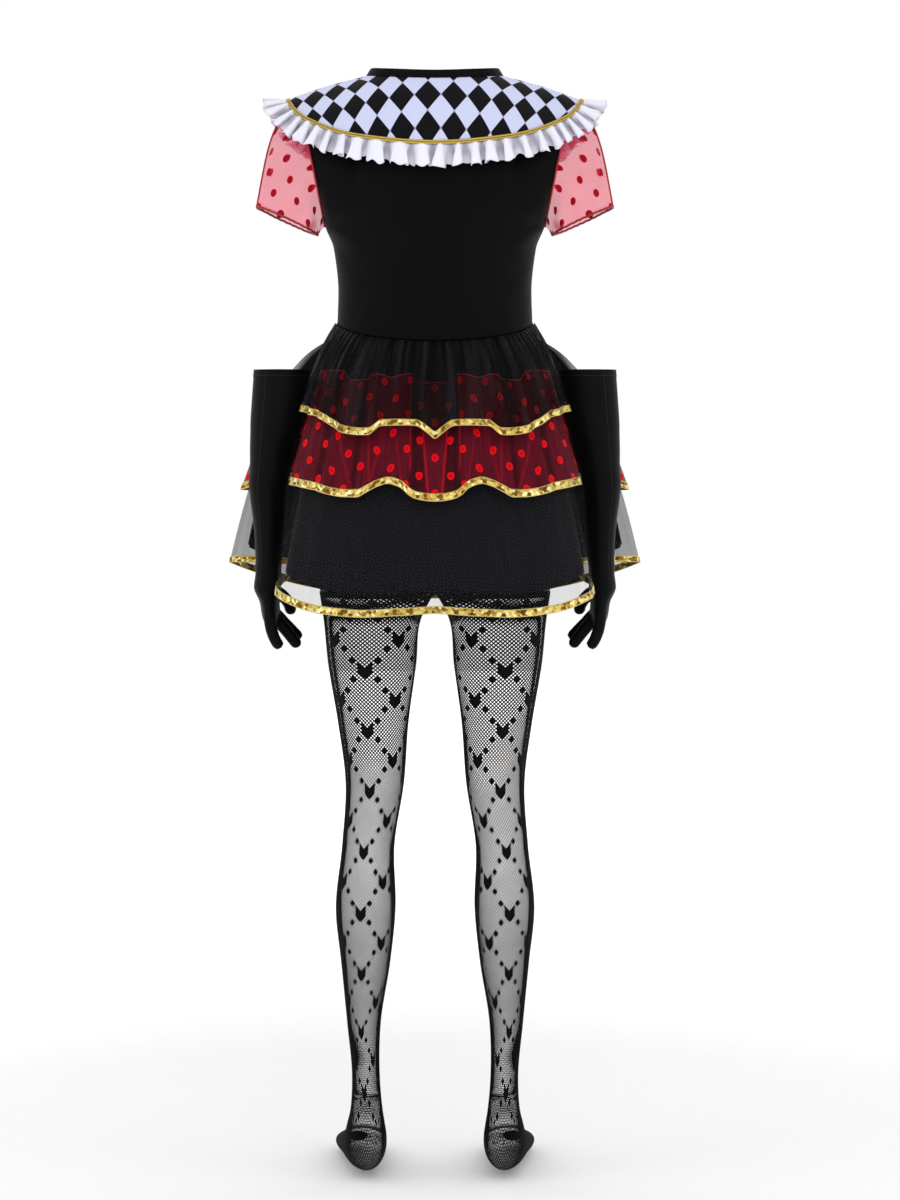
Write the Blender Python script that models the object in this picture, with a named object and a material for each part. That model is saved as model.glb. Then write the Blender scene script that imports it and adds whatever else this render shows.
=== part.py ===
"""Queen costume: a worn dress with a cape collar and a three-tier skirt, a pair of
long gloves and patterned net tights, as hollow cloth walls. Metres, Z up.

The wearer faces +Y, so the back faces -Y and the wearer's right is +X.
Heights in the tables are above the soles; the whole is then moved down by
NECK_HEIGHT, so that the origin is the middle of the neck opening.
"""

import math

import bmesh
import bpy
import numpy as np

# Named sizes
NECK_HEIGHT = 1.500
WALL = 0.0012
SIDE_GAP_DEG = 0.12
FRONT_GAP_DEG = 2.2
WAIST_HALF_WIDTH = 0.131
WAIST_HALF_DEPTH = 0.098
WAIST_SIDE_Z = 1.163
WAIST_BACK_DROP = 0.029
WAIST_FRONT_DROP = 0.018
COLLAR_EDGE_HALF_WIDTH = 0.198
RUFFLE_WIDTH = 0.030
RUFFLE_WAVES = 50
RUFFLE_AMPLITUDE = 0.0052
BRAID_RADIUS = 0.0019
RIBBON_THICKNESS = 0.0010
GATHERS_PER_HALF = 16
UPPER_ARM_BULGE = 0.026
TOE_OUT_DEG = 5.0
WAISTBAND_TOP = 1.1860
WAISTBAND_HEIGHT = 0.0220
WAISTBAND_HALF_WIDTH = 0.1282
WAISTBAND_HALF_DEPTH = 0.0966


def table(names, *rows):
    """A short table: one array for each named column."""
    data = np.array(rows, dtype=float)
    return {name: data[:, i] for i, name in enumerate(names.split())}


# The bodice's side seam and, above it, the armhole's edge (depth is to the back or front)
SIDE_EDGE = table(
    "t x depth z",
    (0.00, 0.1310, 0.000, 1.163),
    (0.18, 0.1298, 0.000, 1.205),
    (0.36, 0.1360, 0.000, 1.262),
    (0.46, 0.1470, 0.002, 1.290),
    (0.54, 0.1500, 0.030, 1.308),
    (0.66, 0.1570, 0.058, 1.348),
    (0.84, 0.1690, 0.052, 1.408),
    (1.00, 0.1780, 0.000, 1.452),
)
CENTRE_BACK = table(
    "t y z",
    (0.00, -0.0980, 1.134),
    (0.25, -0.1000, 1.200),
    (0.50, -0.1080, 1.290),
    (0.68, -0.1120, 1.350),
    (0.85, -0.0960, 1.420),
    (1.00, -0.0560, 1.491),
)
CENTRE_FRONT = table(
    "t y z",
    (0.00, 0.0980, 1.145),
    (0.25, 0.1060, 1.200),
    (0.45, 0.1280, 1.270),
    (0.60, 0.1330, 1.318),
    (0.80, 0.1120, 1.375),
    (1.00, 0.0900, 1.424),
)
SHOULDER_TIP = (0.1780, 0.0, 1.452)
NECK_POINT = (0.0850, 0.0, 1.502)

# The neckline and the collar's outer edge by angle round the body from the centre back
NECKLINE = table(
    "phi y z",
    (0, -0.0550, 1.4965),
    (45, -0.0400, 1.4995),
    (90, 0.0000, 1.5070),
    (135, 0.0780, 1.4560),
    (160, 0.0960, 1.4360),
    (180, 0.1000, 1.4310),
)
COLLAR_EDGE = table(
    "phi y z",
    (0, -0.1180, 1.3970),
    (30, -0.1022, 1.4060),
    (60, -0.0590, 1.4305),
    (90, 0.0000, 1.4640),
    (120, 0.0690, 1.4260),
    (150, 0.1200, 1.3860),
    (180, 0.1400, 1.3700),
)

# The tulle overskirt's hem; spread is the power its flare follows down from the waist
HEM = table(
    "phi x y z spread",
    (0, 0.0000, -0.2000, 0.781, 0.70),
    (15, 0.0520, -0.1980, 0.778, 0.70),
    (28, 0.0980, -0.1920, 0.776, 0.70),
    (45, 0.1500, -0.1720, 0.780, 0.72),
    (60, 0.1880, -0.1460, 0.790, 0.75),
    (75, 0.2100, -0.1080, 0.803, 0.78),
    (90, 0.1980, -0.0560, 0.818, 0.80),
    (102, 0.1830, -0.0120, 0.828, 0.78),
    (112, 0.1920, 0.0250, 0.834, 0.65),
    (125, 0.2450, 0.0620, 0.837, 0.45),
    (138, 0.2840, 0.0850, 0.836, 0.38),
    (150, 0.2350, 0.1350, 0.815, 0.45),
    (163, 0.1300, 0.1800, 0.790, 0.55),
    (180, 0.0000, 0.2000, 0.780, 0.60),
)
# How far the tiers stand off the overskirt, and the heights of their hems
TIERS = table(
    "phi stand1 stand2 hem1 hem2 inset",
    (0, 0.0240, 0.0130, 1.010, 0.931, 0.0120),
    (7, 0.0240, 0.0130, 1.023, 0.933, 0.0120),
    (11, 0.0230, 0.0120, 1.030, 0.938, 0.0120),
    (20, 0.0220, 0.0100, 1.030, 0.951, 0.0120),
    (26, 0.0240, 0.0090, 1.022, 0.953, 0.0120),
    (33, 0.0260, 0.0110, 1.013, 0.947, 0.0120),
    (42, 0.0240, 0.0140, 1.016, 0.935, 0.0110),
    (55, 0.0210, 0.0130, 1.029, 0.936, 0.0090),
    (75, 0.0150, 0.0090, 1.045, 0.950, 0.0060),
    (90, 0.0080, 0.0045, 1.052, 0.954, 0.0020),
    (102, 0.0060, 0.0030, 1.053, 0.955, 0.0020),
    (112, 0.0065, 0.0032, 1.052, 0.954, 0.0050),
    (125, 0.0110, 0.0050, 1.046, 0.948, 0.0160),
    (138, 0.0180, 0.0080, 1.036, 0.936, 0.0240),
    (150, 0.0220, 0.0110, 1.018, 0.934, 0.0180),
    (160, 0.0220, 0.0100, 1.030, 0.951, 0.0140),
    (172, 0.0230, 0.0120, 1.026, 0.938, 0.0120),
    (180, 0.0240, 0.0130, 1.012, 0.931, 0.0120),
)
TIER2_TOP = 1.0925
UNDERSKIRT_END = 0.912

# The glove's arm and palm, then its fingers
GLOVE = table(
    "z x y half_x half_y",
    (1.0985, 0.2055, 0.000, 0.0378, 0.0380),
    (1.0470, 0.2106, 0.000, 0.0365, 0.0370),
    (0.9770, 0.2200, 0.000, 0.0290, 0.0320),
    (0.9310, 0.2255, 0.000, 0.0240, 0.0280),
    (0.8745, 0.2241, 0.000, 0.0190, 0.0250),
    (0.8258, 0.2250, 0.000, 0.0170, 0.0240),
    (0.8056, 0.2264, 0.002, 0.0180, 0.0270),
    (0.7850, 0.2235, 0.004, 0.0128, 0.0330),
    (0.7660, 0.2215, 0.004, 0.0118, 0.0350),
    (0.7530, 0.2190, 0.004, 0.0085, 0.0300),
)
FINGERS = (
    # name, depth at the root and tip, x and z at the root, the bend and the tip, radius
    ("little", -0.0225, -0.0200, 0.2220, 0.770, 0.2195, 0.748, 0.2115, 0.7300, 0.0078),
    ("ring", -0.0050, -0.0030, 0.2200, 0.770, 0.2040, 0.751, 0.1880, 0.7305, 0.0080),
    ("middle", 0.0130, 0.0150, 0.2200, 0.771, 0.2030, 0.755, 0.1875, 0.7395, 0.0080),
    ("index", 0.0300, 0.0330, 0.2200, 0.771, 0.2040, 0.754, 0.1920, 0.7360, 0.0078),
    ("thumb", 0.0200, 0.0420, 0.2230, 0.803, 0.2050, 0.790, 0.1972, 0.7735, 0.0082),
)

# The tights' leg, from the top down, then the foot's rings, tilted from level to upright
LEG = table(
    "z x half_x half_y y",
    (0.7600, 0.0850, 0.0648, 0.0720, -0.002),
    (0.7043, 0.0850, 0.0594, 0.0650, 0.000),
    (0.6220, 0.0837, 0.0473, 0.0560, 0.002),
    (0.5400, 0.0818, 0.0392, 0.0480, 0.002),
    (0.4560, 0.0905, 0.0351, 0.0430, -0.006),
    (0.3696, 0.0940, 0.0400, 0.0500, -0.014),
    (0.3000, 0.0940, 0.0330, 0.0440, -0.015),
    (0.2143, 0.0965, 0.0223, 0.0310, -0.014),
    (0.1400, 0.0940, 0.0185, 0.0270, -0.012),
)
FOOT = table(
    "tilt y z half_x half_up",
    (18, -0.010, 0.094, 0.0215, 0.0330),
    (45, -0.004, 0.060, 0.0270, 0.0480),
    (70, 0.026, 0.042, 0.0290, 0.0380),
    (88, 0.070, 0.031, 0.0320, 0.0265),
    (90, 0.115, 0.023, 0.0345, 0.0190),
    (90, 0.158, 0.0165, 0.0290, 0.0135),
    (90, 0.184, 0.0130, 0.0130, 0.0075),
)
BRIEF = table(
    "z half_x half_y y power",
    (0.8006, 0.1545, 0.0880, -0.002, 0.75),
    (0.8800, 0.1610, 0.1020, -0.006, 0.85),
    (0.9600, 0.1510, 0.0990, -0.003, 1.00),
    (1.0500, 0.1350, 0.0940, 0.000, 1.00),
    (1.1636, 0.1250, 0.0930, 0.000, 1.00),
)


def smooth(tab, key, name, at, level_ends=False):
    """Monotone cubic interpolation of one named column."""
    x = tab[key]
    y = tab[name]
    step = np.diff(x)
    rise = np.diff(y) / step
    slope = np.zeros(len(x))
    both = rise[:-1] * rise[1:]
    total = rise[:-1] + rise[1:]
    safe = np.where(np.abs(total) < 1e-12, 1.0, total)
    slope[1:-1] = np.where(both > 0, 2.0 * both / safe, 0.0)
    if not level_ends:
        slope[0] = rise[0]
        slope[-1] = rise[-1]
    at = np.asarray(at, dtype=float)
    i = np.clip(np.searchsorted(x, at, side="right") - 1, 0, len(step) - 1)
    t = (at - x[i]) / step[i]
    h00 = (1 + 2 * t) * (1 - t) ** 2
    h10 = t * (1 - t) ** 2
    h01 = t * t * (3 - 2 * t)
    h11 = t * t * (t - 1)
    return h00 * y[i] + h10 * step[i] * slope[i] + h01 * y[i + 1] + h11 * step[i] * slope[i + 1]


def unit(v):
    return v / np.maximum(np.linalg.norm(v, axis=-1, keepdims=True), 1e-12)


def grid_normals(grid, closed, inside):
    """Unit normals of a grid of points, away from the line x = inside[0], y = inside[1]."""
    if closed:
        across = np.roll(grid, -1, axis=1) - np.roll(grid, 1, axis=1)
    else:
        across = np.gradient(grid, axis=1)
    down = np.gradient(grid, axis=0)
    n = unit(np.cross(across, down))
    axis = grid.copy()
    axis[..., 0] = inside[0]
    axis[..., 1] = inside[1]
    if np.sum(n * (grid - axis)) < 0:
        n = -n
    return n


def new_object(name, verts, faces):
    """A closed mesh object with its faces outward, in triangles."""
    mesh = bpy.data.meshes.new(name)
    mesh.from_pydata([tuple(v) for v in verts], [], faces)
    bm = bmesh.new()
    bm.from_mesh(mesh)
    bmesh.ops.recalc_face_normals(bm, faces=bm.faces)
    bmesh.ops.triangulate(bm, faces=bm.faces)
    if bm.calc_volume(signed=True) < 0:
        bmesh.ops.reverse_faces(bm, faces=bm.faces)
    bm.to_mesh(mesh)
    bm.free()
    obj = bpy.data.objects.new(name, mesh)
    bpy.context.scene.collection.objects.link(obj)
    return obj


def wall_between(name, outer, inner, closed, toe=False):
    """A wall between two grids of points, with rims; toe closes the last row."""
    rows, cols = outer.shape[:2]
    half = rows * cols
    verts = np.concatenate([outer.reshape(-1, 3), inner.reshape(-1, 3)])
    faces = []
    last = cols if closed else cols - 1
    for r in range(rows - 1):
        for c in range(last):
            d = (c + 1) % cols
            a, b = r * cols + c, r * cols + d
            e, f = (r + 1) * cols + d, (r + 1) * cols + c
            faces.append((a, b, e, f))
            faces.append((half + f, half + e, half + b, half + a))
    for r in (0, rows - 1):
        if toe and r:
            ring = [r * cols + c for c in range(cols)]
            faces.append(tuple(ring))
            faces.append(tuple(half + i for i in reversed(ring)))
            continue
        for c in range(last):
            a, b = r * cols + c, r * cols + (c + 1) % cols
            faces.append((a, half + a, half + b, b) if r == 0 else (b, half + b, half + a, a))
    if not closed:
        for c in (0, cols - 1):
            for r in range(rows - 1):
                a, b = r * cols + c, (r + 1) * cols + c
                faces.append((b, half + b, half + a, a) if c == 0 else (a, half + a, half + b, b))
    return new_object(name, verts, faces)


def wall(name, grid, inside=(0.0, 0.0), closed=False, thickness=WALL):
    """A wall whose outer face is the grid."""
    n = grid_normals(grid, closed, inside)
    return wall_between(name, grid, grid - n * thickness, closed)


def mirrored(tab, name, phi):
    """A column of a table by angle, the same on both sides of the body."""
    return smooth(tab, "phi", name, np.abs(phi), level_ends=True)


def signed(phi):
    """The angle round the body brought into -180 to 180 degrees."""
    return (np.asarray(phi, dtype=float) + 180.0) % 360.0 - 180.0


# The bodice
def bodice_point(phi, t, centre, sign):
    """sign is -1 for the back and 1 for the front; phi runs -90 to 90 across the panel."""
    s = np.abs(phi) / 90.0
    a = np.radians(phi)
    ex = smooth(SIDE_EDGE, "t", "x", t)
    ey = smooth(SIDE_EDGE, "t", "depth", t) * sign
    ez = smooth(SIDE_EDGE, "t", "z", t)
    cy = smooth(centre, "t", "y", t)
    cz = smooth(centre, "t", "z", t)
    x = ex * np.sin(a)
    y = ey + (cy - ey) * np.cos(a)
    z = ez + (cz - ez) * np.cos(a)
    tip = np.array(SHOULDER_TIP)
    neck = np.array(NECK_POINT)
    top_y = centre["y"][-1]
    top_z = centre["z"][-1]
    arc = np.stack([tip[0] * np.sin(a), top_y * np.cos(a), tip[2] + (top_z - tip[2]) * np.cos(a)], -1)
    u = np.clip((s - 0.5) / 0.5, 0, 1)[..., None]
    shoulder = neck + (tip - neck) * u
    q = np.clip(s / 0.5, 0, 1) * math.pi / 2
    line = np.stack(
        [neck[0] * np.sin(q), top_y * np.cos(q), neck[2] + (top_z - neck[2]) * np.cos(q)], -1
    )
    top = np.where((s > 0.5)[..., None], shoulder, line)
    side = np.sign(np.where(phi == 0, 1, phi))
    top = top * np.stack([side, np.ones_like(side), np.ones_like(side)], -1)
    mix = (np.asarray(t) ** 4)[..., None]
    return np.stack([x, y, z], -1) + mix * (top - arc)


def bodice(name, centre, sign):
    cols = np.linspace(-90 + SIDE_GAP_DEG, 90 - SIDE_GAP_DEG, 14)
    rows = (1.0, 0.92, 0.84, 0.74, 0.62, 0.5, 0.4, 0.25, 0.12, 0.0)
    grid = np.array([bodice_point(cols, np.full(cols.shape, t), centre, sign) for t in rows])
    grid[0, :, 1] += sign * 0.0009
    return wall(name, grid)


# The neck, collar, braid and ruffle
def neckline(phi):
    p = signed(phi)
    return np.stack(
        [0.082 * np.sin(np.radians(p)), mirrored(NECKLINE, "y", p), mirrored(NECKLINE, "z", p)], -1
    )


def collar_edge(phi):
    p = signed(phi)
    width = COLLAR_EDGE_HALF_WIDTH
    return np.stack(
        [width * np.sin(np.radians(p)), mirrored(COLLAR_EDGE, "y", p), mirrored(COLLAR_EDGE, "z", p)],
        -1,
    )


def collar_point(phi, r):
    """r runs from the neck seam (0) to the outer edge (1)."""
    inner = neckline(phi)
    outer = collar_edge(phi)
    back = np.cos(np.radians(signed(phi)))
    bow = 4 * r * (1 - r) * (0.0025 + 0.0055 * back**2)
    flat = unit(outer - inner)
    up = unit(np.stack([-flat[..., 0] * flat[..., 2], -flat[..., 1] * flat[..., 2],
                        flat[..., 0] ** 2 + flat[..., 1] ** 2], -1))
    return inner + (outer - inner) * r + up * bow[..., None]


def open_ring(count):
    return np.linspace(-180 + FRONT_GAP_DEG, 180 - FRONT_GAP_DEG, count)


def neck_binding():
    """A narrow band that stands round the neckline, inside the collar's seam."""
    phi = np.arange(32) * 360.0 / 32
    ring = neckline(phi)
    centre = np.array([0.0, 0.0, 0.0])
    out = unit((ring - centre) * np.array([1.0, 1.0, 0.0]))
    low = ring + out * 0.0003 + np.array([0, 0, -0.0006])
    high = ring - out * 0.0026 + np.array([0, 0, 0.0105])
    grid = np.array([high, low])
    return wall_between("neck_binding", grid, grid - out[None] * 0.0020, True)


def collar():
    phi = open_ring(41)
    rows = [collar_point(phi, r) for r in (0.015, 0.34, 0.67, 1.0)]
    return wall("collar", np.array(rows))


def ruffle_direction(phi):
    p = signed(phi)
    slope = unit(collar_edge(p) - collar_point(p, 0.75))
    fall = np.stack([0 * p, 0 * p, -0.30 - 0.35 * np.abs(np.cos(np.radians(p)))], -1)
    return unit(slope + fall)


def collar_ruffle():
    phi = np.linspace(-180 + FRONT_GAP_DEG, 180 - FRONT_GAP_DEG, RUFFLE_WAVES * 4 + 1)
    edge = collar_edge(phi)
    along = ruffle_direction(phi)
    side = unit(np.gradient(edge, axis=0))
    lift = unit(np.cross(side, along))
    if np.sum(lift[:, 2]) < 0:
        lift = -lift
    wave = np.cos(np.arange(len(phi)) * math.pi / 2)[:, None]
    rows = []
    for r, size in ((0.0, 0.28), (1.0, 1.0)):
        start = edge + along * (0.0006 + RUFFLE_WIDTH * r)
        rows.append(start + lift * (wave * size * RUFFLE_AMPLITUDE + 0.0006))
    grid = np.array(rows)
    across = np.gradient(grid, axis=1)
    n = unit(np.cross(across, np.gradient(grid, axis=0)))
    if np.sum(n * lift[None]) < 0:
        n = -n
    return wall_between("collar_ruffle", grid + n * WALL / 2, grid - n * WALL / 2, False)


def tube(name, path, radius, sides=4):
    """A closed cord along a path of points."""
    along = unit(np.gradient(path, axis=0))
    up = np.tile([0.0, 0.0, 1.0], (len(path), 1))
    first = unit(np.cross(along, up))
    second = unit(np.cross(first, along))
    rings = []
    for k in range(sides):
        a = 2 * math.pi * (k + 0.5) / sides
        rings.append(path + radius * (first * math.cos(a) + second * math.sin(a)))
    verts = np.array(rings).transpose(1, 0, 2)
    count = len(path)
    faces = []
    for i in range(count - 1):
        for k in range(sides):
            m = (k + 1) % sides
            faces.append((i * sides + k, i * sides + m, (i + 1) * sides + m, (i + 1) * sides + k))
    faces.append(tuple(reversed(range(sides))))
    faces.append(tuple((count - 1) * sides + k for k in range(sides)))
    return new_object(name, verts.reshape(-1, 3), faces)


def collar_braid():
    phi = open_ring(41)
    edge = collar_point(phi, 0.985)
    flat = unit(collar_edge(phi) - collar_point(phi, 0.7))
    out = unit(np.stack([-flat[:, 0] * flat[:, 2], -flat[:, 1] * flat[:, 2],
                         flat[:, 0] ** 2 + flat[:, 1] ** 2], -1))
    return tube("collar_braid", edge + out * (BRAID_RADIUS + 0.0011), BRAID_RADIUS)


# The sleeves
def armhole(theta, side):
    """The armhole's edge; theta 0 is the shoulder, 90 the back, 180 the underarm."""
    th = np.asarray(theta, dtype=float) % 360.0
    back = th <= 180.0
    f = np.where(back, th, 360.0 - th) / 180.0
    t = 1.0 - f * 0.54
    sign = np.where(back, -1.0, 1.0)
    x = smooth(SIDE_EDGE, "t", "x", t)
    y = smooth(SIDE_EDGE, "t", "depth", t) * sign
    z = smooth(SIDE_EDGE, "t", "z", t)
    return np.stack([side * x, y, z], -1)


def sleeve_point(theta, v, side):
    """v runs from the armhole (0) to the sleeve's hem (1)."""
    a = np.radians(theta)
    start = armhole(theta, side)
    lift = np.array([side * 0.0011, 0.0, 0.0004])
    end = np.stack([side * (0.199 + 0.0407 * np.cos(a)), -0.058 * np.sin(a), 1.2985 + 0.0185 * np.cos(a)],
                   -1)
    ease = v**0.92
    puff = math.sin(math.pi * min(1.0, v * 1.35 + 0.02)) if v < 0.74 else 0.0
    top = np.maximum(0.0, np.cos(a)) ** 1.2
    push = UPPER_ARM_BULGE * puff * top[..., None] * np.array([side * 0.45, 0.0, 0.89])
    return start + lift + (end - start - lift) * ease + push


def sleeve(name, side):
    theta = np.arange(20) * 18.0
    rows = np.array([sleeve_point(theta, v, side) for v in (0.0, 0.18, 0.38, 0.68, 1.0)])
    middle = rows.mean(axis=1, keepdims=True)
    across = np.roll(rows, -1, axis=1) - np.roll(rows, 1, axis=1)
    n = unit(np.cross(across, np.gradient(rows, axis=0)))
    if np.sum(n * (rows - middle)) < 0:
        n = -n
    return wall_between(name, rows, rows - n * WALL, True)


# The skirt
def waist(phi):
    p = signed(phi)
    a = np.radians(p)
    back = np.cos(a) > 0
    drop = np.where(back, WAIST_BACK_DROP, WAIST_FRONT_DROP) * np.abs(np.cos(a))
    return np.stack([WAIST_HALF_WIDTH * np.sin(a), -WAIST_HALF_DEPTH * np.cos(a), WAIST_SIDE_Z - drop], -1)


def skirt_point(phi, v):
    """The overskirt's surface; v runs from the waist (0) to its hem (1)."""
    p = signed(phi)
    top = waist(p)
    x = smooth(HEM, "phi", "x", np.abs(p)) * np.sign(p)
    y = mirrored(HEM, "y", p)
    z = mirrored(HEM, "z", p)
    spread = mirrored(HEM, "spread", p)
    v = np.asarray(v, dtype=float)
    f = np.maximum(v, 0.0) ** spread
    return np.stack(
        [top[..., 0] + (x - top[..., 0]) * f, top[..., 1] + (y - top[..., 1]) * f,
         top[..., 2] - 0.0006 + (z - top[..., 2] + 0.0006) * v], -1
    )


def skirt_normal(phi, v):
    step = 0.6
    across = skirt_point(phi + step, v) - skirt_point(phi - step, v)
    w = np.maximum(v, 0.03)
    down = skirt_point(phi, w + 0.02) - skirt_point(phi, w - 0.02)
    n = unit(np.cross(across, down))
    p = skirt_point(phi, v)
    return np.where((np.sum(n[..., :2] * p[..., :2], -1) < 0)[..., None], -n, n)


def level(phi, z):
    """v at which the overskirt has this height."""
    top = waist(phi)[..., 2] - 0.0006
    return (top - z) / (top - mirrored(HEM, "z", signed(phi)))


def half_angles(half, count):
    start = -90.0 if half == "back" else 90.0
    return np.linspace(start + SIDE_GAP_DEG, start + 180.0 - SIDE_GAP_DEG, count)


def tulle(phi, r):
    """The overskirt itself, with shallow folds that deepen to the hem."""
    p = signed(phi)
    fold = np.cos(np.radians(p) * 11.0) * 0.0012 * r
    v = r + 0 * p
    return skirt_point(p, v) + skirt_normal(p, v) * fold[..., None]


def underskirt(phi, r):
    p = signed(phi)
    v = r * UNDERSKIRT_END + 0 * p
    inset = 0.0026 + mirrored(TIERS, "inset", p) * v
    return skirt_point(p, v) - skirt_normal(p, v) * inset[..., None]


def gather(phi, count):
    return 0.5 - 0.5 * np.cos(np.radians(signed(phi)) * 2 * count)


def tier1(phi, r):
    p = signed(phi)
    v = level(p, mirrored(TIERS, "hem1", p)) * r
    stand = mirrored(TIERS, "stand1", p)
    room = np.clip(stand / 0.012, 0.35, 1.0)
    swell = 0.0022 + (stand - 0.0022) * math.sin(min(1.0, r) * math.pi / 2) ** 0.8
    pleat = gather(p, GATHERS_PER_HALF) * room * (0.0024 + 0.0012 * r)
    out = swell + pleat * (0.35 + 0.65 * min(1.0, r * 3))
    return skirt_point(p, v) + skirt_normal(p, v) * out[..., None]


def tier2(phi, r):
    p = signed(phi)
    start = level(p, TIER2_TOP)
    v = start + (level(p, mirrored(TIERS, "hem2", p)) - start) * r
    stand = mirrored(TIERS, "stand2", p)
    out = 0.0028 + (stand - 0.0028) * np.maximum(0.0, r) ** 0.9
    return skirt_point(p, v) + skirt_normal(p, v) * np.maximum(out, 0.0028)[..., None]


def panel_grid(shape, half, count, rows):
    phi = half_angles(half, count)
    return np.array([shape(phi, r) for r in rows])


def seam_normals(shape, half, count, rows):
    """A panel's normals, taken past its side seams so that both halves agree there."""
    phi = half_angles(half, count)
    step = phi[1] - phi[0]
    wide = np.concatenate([[phi[0] - step], phi, [phi[-1] + step]])
    grid = np.array([shape(wide, r) for r in rows])
    return grid_normals(grid, False, (0.0, 0.0))[:, 1:-1]


def skirt_panel(name, shape, half, count, rows):
    grid = panel_grid(shape, half, count, rows)
    n = seam_normals(shape, half, count, rows)
    return wall_between(name, grid, grid - n * WALL, False)


def hem_ribbon(name, shape, half, count, drop):
    """A flat ribbon laid on the last strip of a panel, made from its points moved out."""
    phi = half_angles(half, count)
    grid = np.array([shape(phi, 1.0 - drop), shape(phi, 1.0)])
    n = seam_normals(shape, half, count, (0.0, 0.4, 0.7, 1.0 - drop, 1.0))[-2:]
    inner = grid + n * 0.0004
    return wall_between(name, inner + n * RIBBON_THICKNESS, inner, False)


# The gloves
def closed_tube(name, rings):
    """A solid skin through rings of points, closed at both ends."""
    count, sides = rings.shape[:2]
    faces = []
    for i in range(count - 1):
        for k in range(sides):
            m = (k + 1) % sides
            faces.append((i * sides + k, i * sides + m, (i + 1) * sides + m, (i + 1) * sides + k))
    faces.append(tuple(reversed(range(sides))))
    faces.append(tuple((count - 1) * sides + k for k in range(sides)))
    return new_object(name, rings.reshape(-1, 3), faces)


def arm_rings(shrink):
    sides = 10
    a = np.arange(sides) * 2 * math.pi / sides
    rings = []
    last = len(GLOVE["z"]) - 1
    for i in range(len(GLOVE["z"])):
        hx = GLOVE["half_x"][i] - shrink
        hy = GLOVE["half_y"][i] - shrink
        z = GLOVE["z"][i]
        if shrink and i == 0:
            z += 0.010
        if shrink and i == last:
            z += shrink
        x = GLOVE["x"][i] + hx * np.cos(a)
        rings.append(np.stack([x, GLOVE["y"][i] + hy * np.sin(a), np.full(sides, z)], -1))
    return np.array(rings)


def finger_rings(row, shrink):
    """A bent, round-ended finger from three points and a radius."""
    _, y0, y1, x0, z0, xm, zm, x1, z1, radius = row
    sides = 6
    r = radius - shrink
    points = np.array([(x0, y0, z0), (xm, (y0 + y1) / 2, zm), (x1, y1, z1)])
    tip = unit(points[2] - points[1])
    path = [points[0], points[1], points[2], points[2] + tip * (r * 0.8)]
    size = (1.0, 1.0, 1.0, 0.55)
    along = unit(np.gradient(np.array(path), axis=0))
    rings = []
    for point, way, scale in zip(path, along, size):
        first = unit(np.cross(way, np.array([0.0, 1.0, 0.0])))
        second = np.cross(first, way)
        ring = []
        for k in range(sides):
            a = 2 * math.pi * (k + 0.5) / sides
            ring.append(point + r * scale * (first * math.cos(a) + second * math.sin(a)))
        rings.append(ring)
    return np.array(rings)


def combine(target, other, operation):
    """Apply one Boolean step and remove the second object."""
    modifier = target.modifiers.new("cut", "BOOLEAN")
    modifier.operation = operation
    modifier.solver = "EXACT"
    modifier.object = other
    graph = bpy.context.evaluated_depsgraph_get()
    mesh = bpy.data.meshes.new_from_object(target.evaluated_get(graph))
    target.modifiers.clear()
    target.data = mesh
    bpy.data.objects.remove(other, do_unlink=True)


def glove(name, side):
    flip = np.array([side, 1.0, 1.0])
    whole = []
    for shrink in (0.0, WALL):
        skin = closed_tube(name, arm_rings(shrink) * flip)
        for row in FINGERS:
            combine(skin, closed_tube("finger", finger_rings(row, shrink) * flip), "UNION")
        whole.append(skin)
    combine(whole[0], whole[1], "DIFFERENCE")
    obj = whole[0]
    obj.name = name
    bm = bmesh.new()
    bm.from_mesh(obj.data)
    bmesh.ops.remove_doubles(bm, verts=bm.verts, dist=1e-6)
    bmesh.ops.triangulate(bm, faces=bm.faces)
    bm.to_mesh(obj.data)
    bm.free()
    return obj


# The tights
OUTER_COLUMNS = 9
INNER_COLUMNS = 3
RING_ANGLES = np.concatenate(
    [np.linspace(-140, 140, OUTER_COLUMNS), np.linspace(140, 220, INNER_COLUMNS + 2)[1:-1]]
)


def crotch_ring(side):
    """The leg's top: the outer part follows the brief, the inner part runs straight."""
    psi = np.radians((RING_ANGLES[:OUTER_COLUMNS] + 140) / 280 * 180)
    x = 0.0012 + BRIEF["half_x"][0] * np.sin(psi) ** BRIEF["power"][0]
    y = BRIEF["y"][0] - BRIEF["half_y"][0] * np.cos(psi)
    outer = np.stack([x, y, np.full(OUTER_COLUMNS, 0.8)], -1)
    reach = np.linspace(BRIEF["half_y"][0], -BRIEF["half_y"][0], INNER_COLUMNS + 2)[1:-1]
    inner = np.stack([np.full(INNER_COLUMNS, 0.0012), BRIEF["y"][0] + reach, np.full(INNER_COLUMNS, 0.8)], -1)
    return np.concatenate([outer, inner]) * np.array([side, 1.0, 1.0])


def leg_ring(i, side):
    a = np.radians(RING_ANGLES)
    x = LEG["x"][i] + LEG["half_x"][i] * np.cos(a)
    y = LEG["y"][i] + LEG["half_y"][i] * np.sin(a)
    return np.stack([side * x, y, np.full(len(a), LEG["z"][i])], -1)


def foot_ring(i, side):
    """A foot ring, tilted forward about the x axis and turned out at the heel."""
    a = np.radians(RING_ANGLES)
    tilt = math.radians(FOOT["tilt"][i])
    wide = FOOT["half_x"][i] * np.cos(a)
    up = FOOT["half_up"][i] * np.sin(a)
    y = FOOT["y"][i] + up * math.cos(tilt)
    z = FOOT["z"][i] + up * math.sin(tilt)
    turn = math.radians(TOE_OUT_DEG)
    x = 0.0915 + wide * math.cos(turn) + (y + 0.03) * math.sin(turn)
    return np.stack([side * x, y - wide * math.sin(turn), z], -1)


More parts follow.
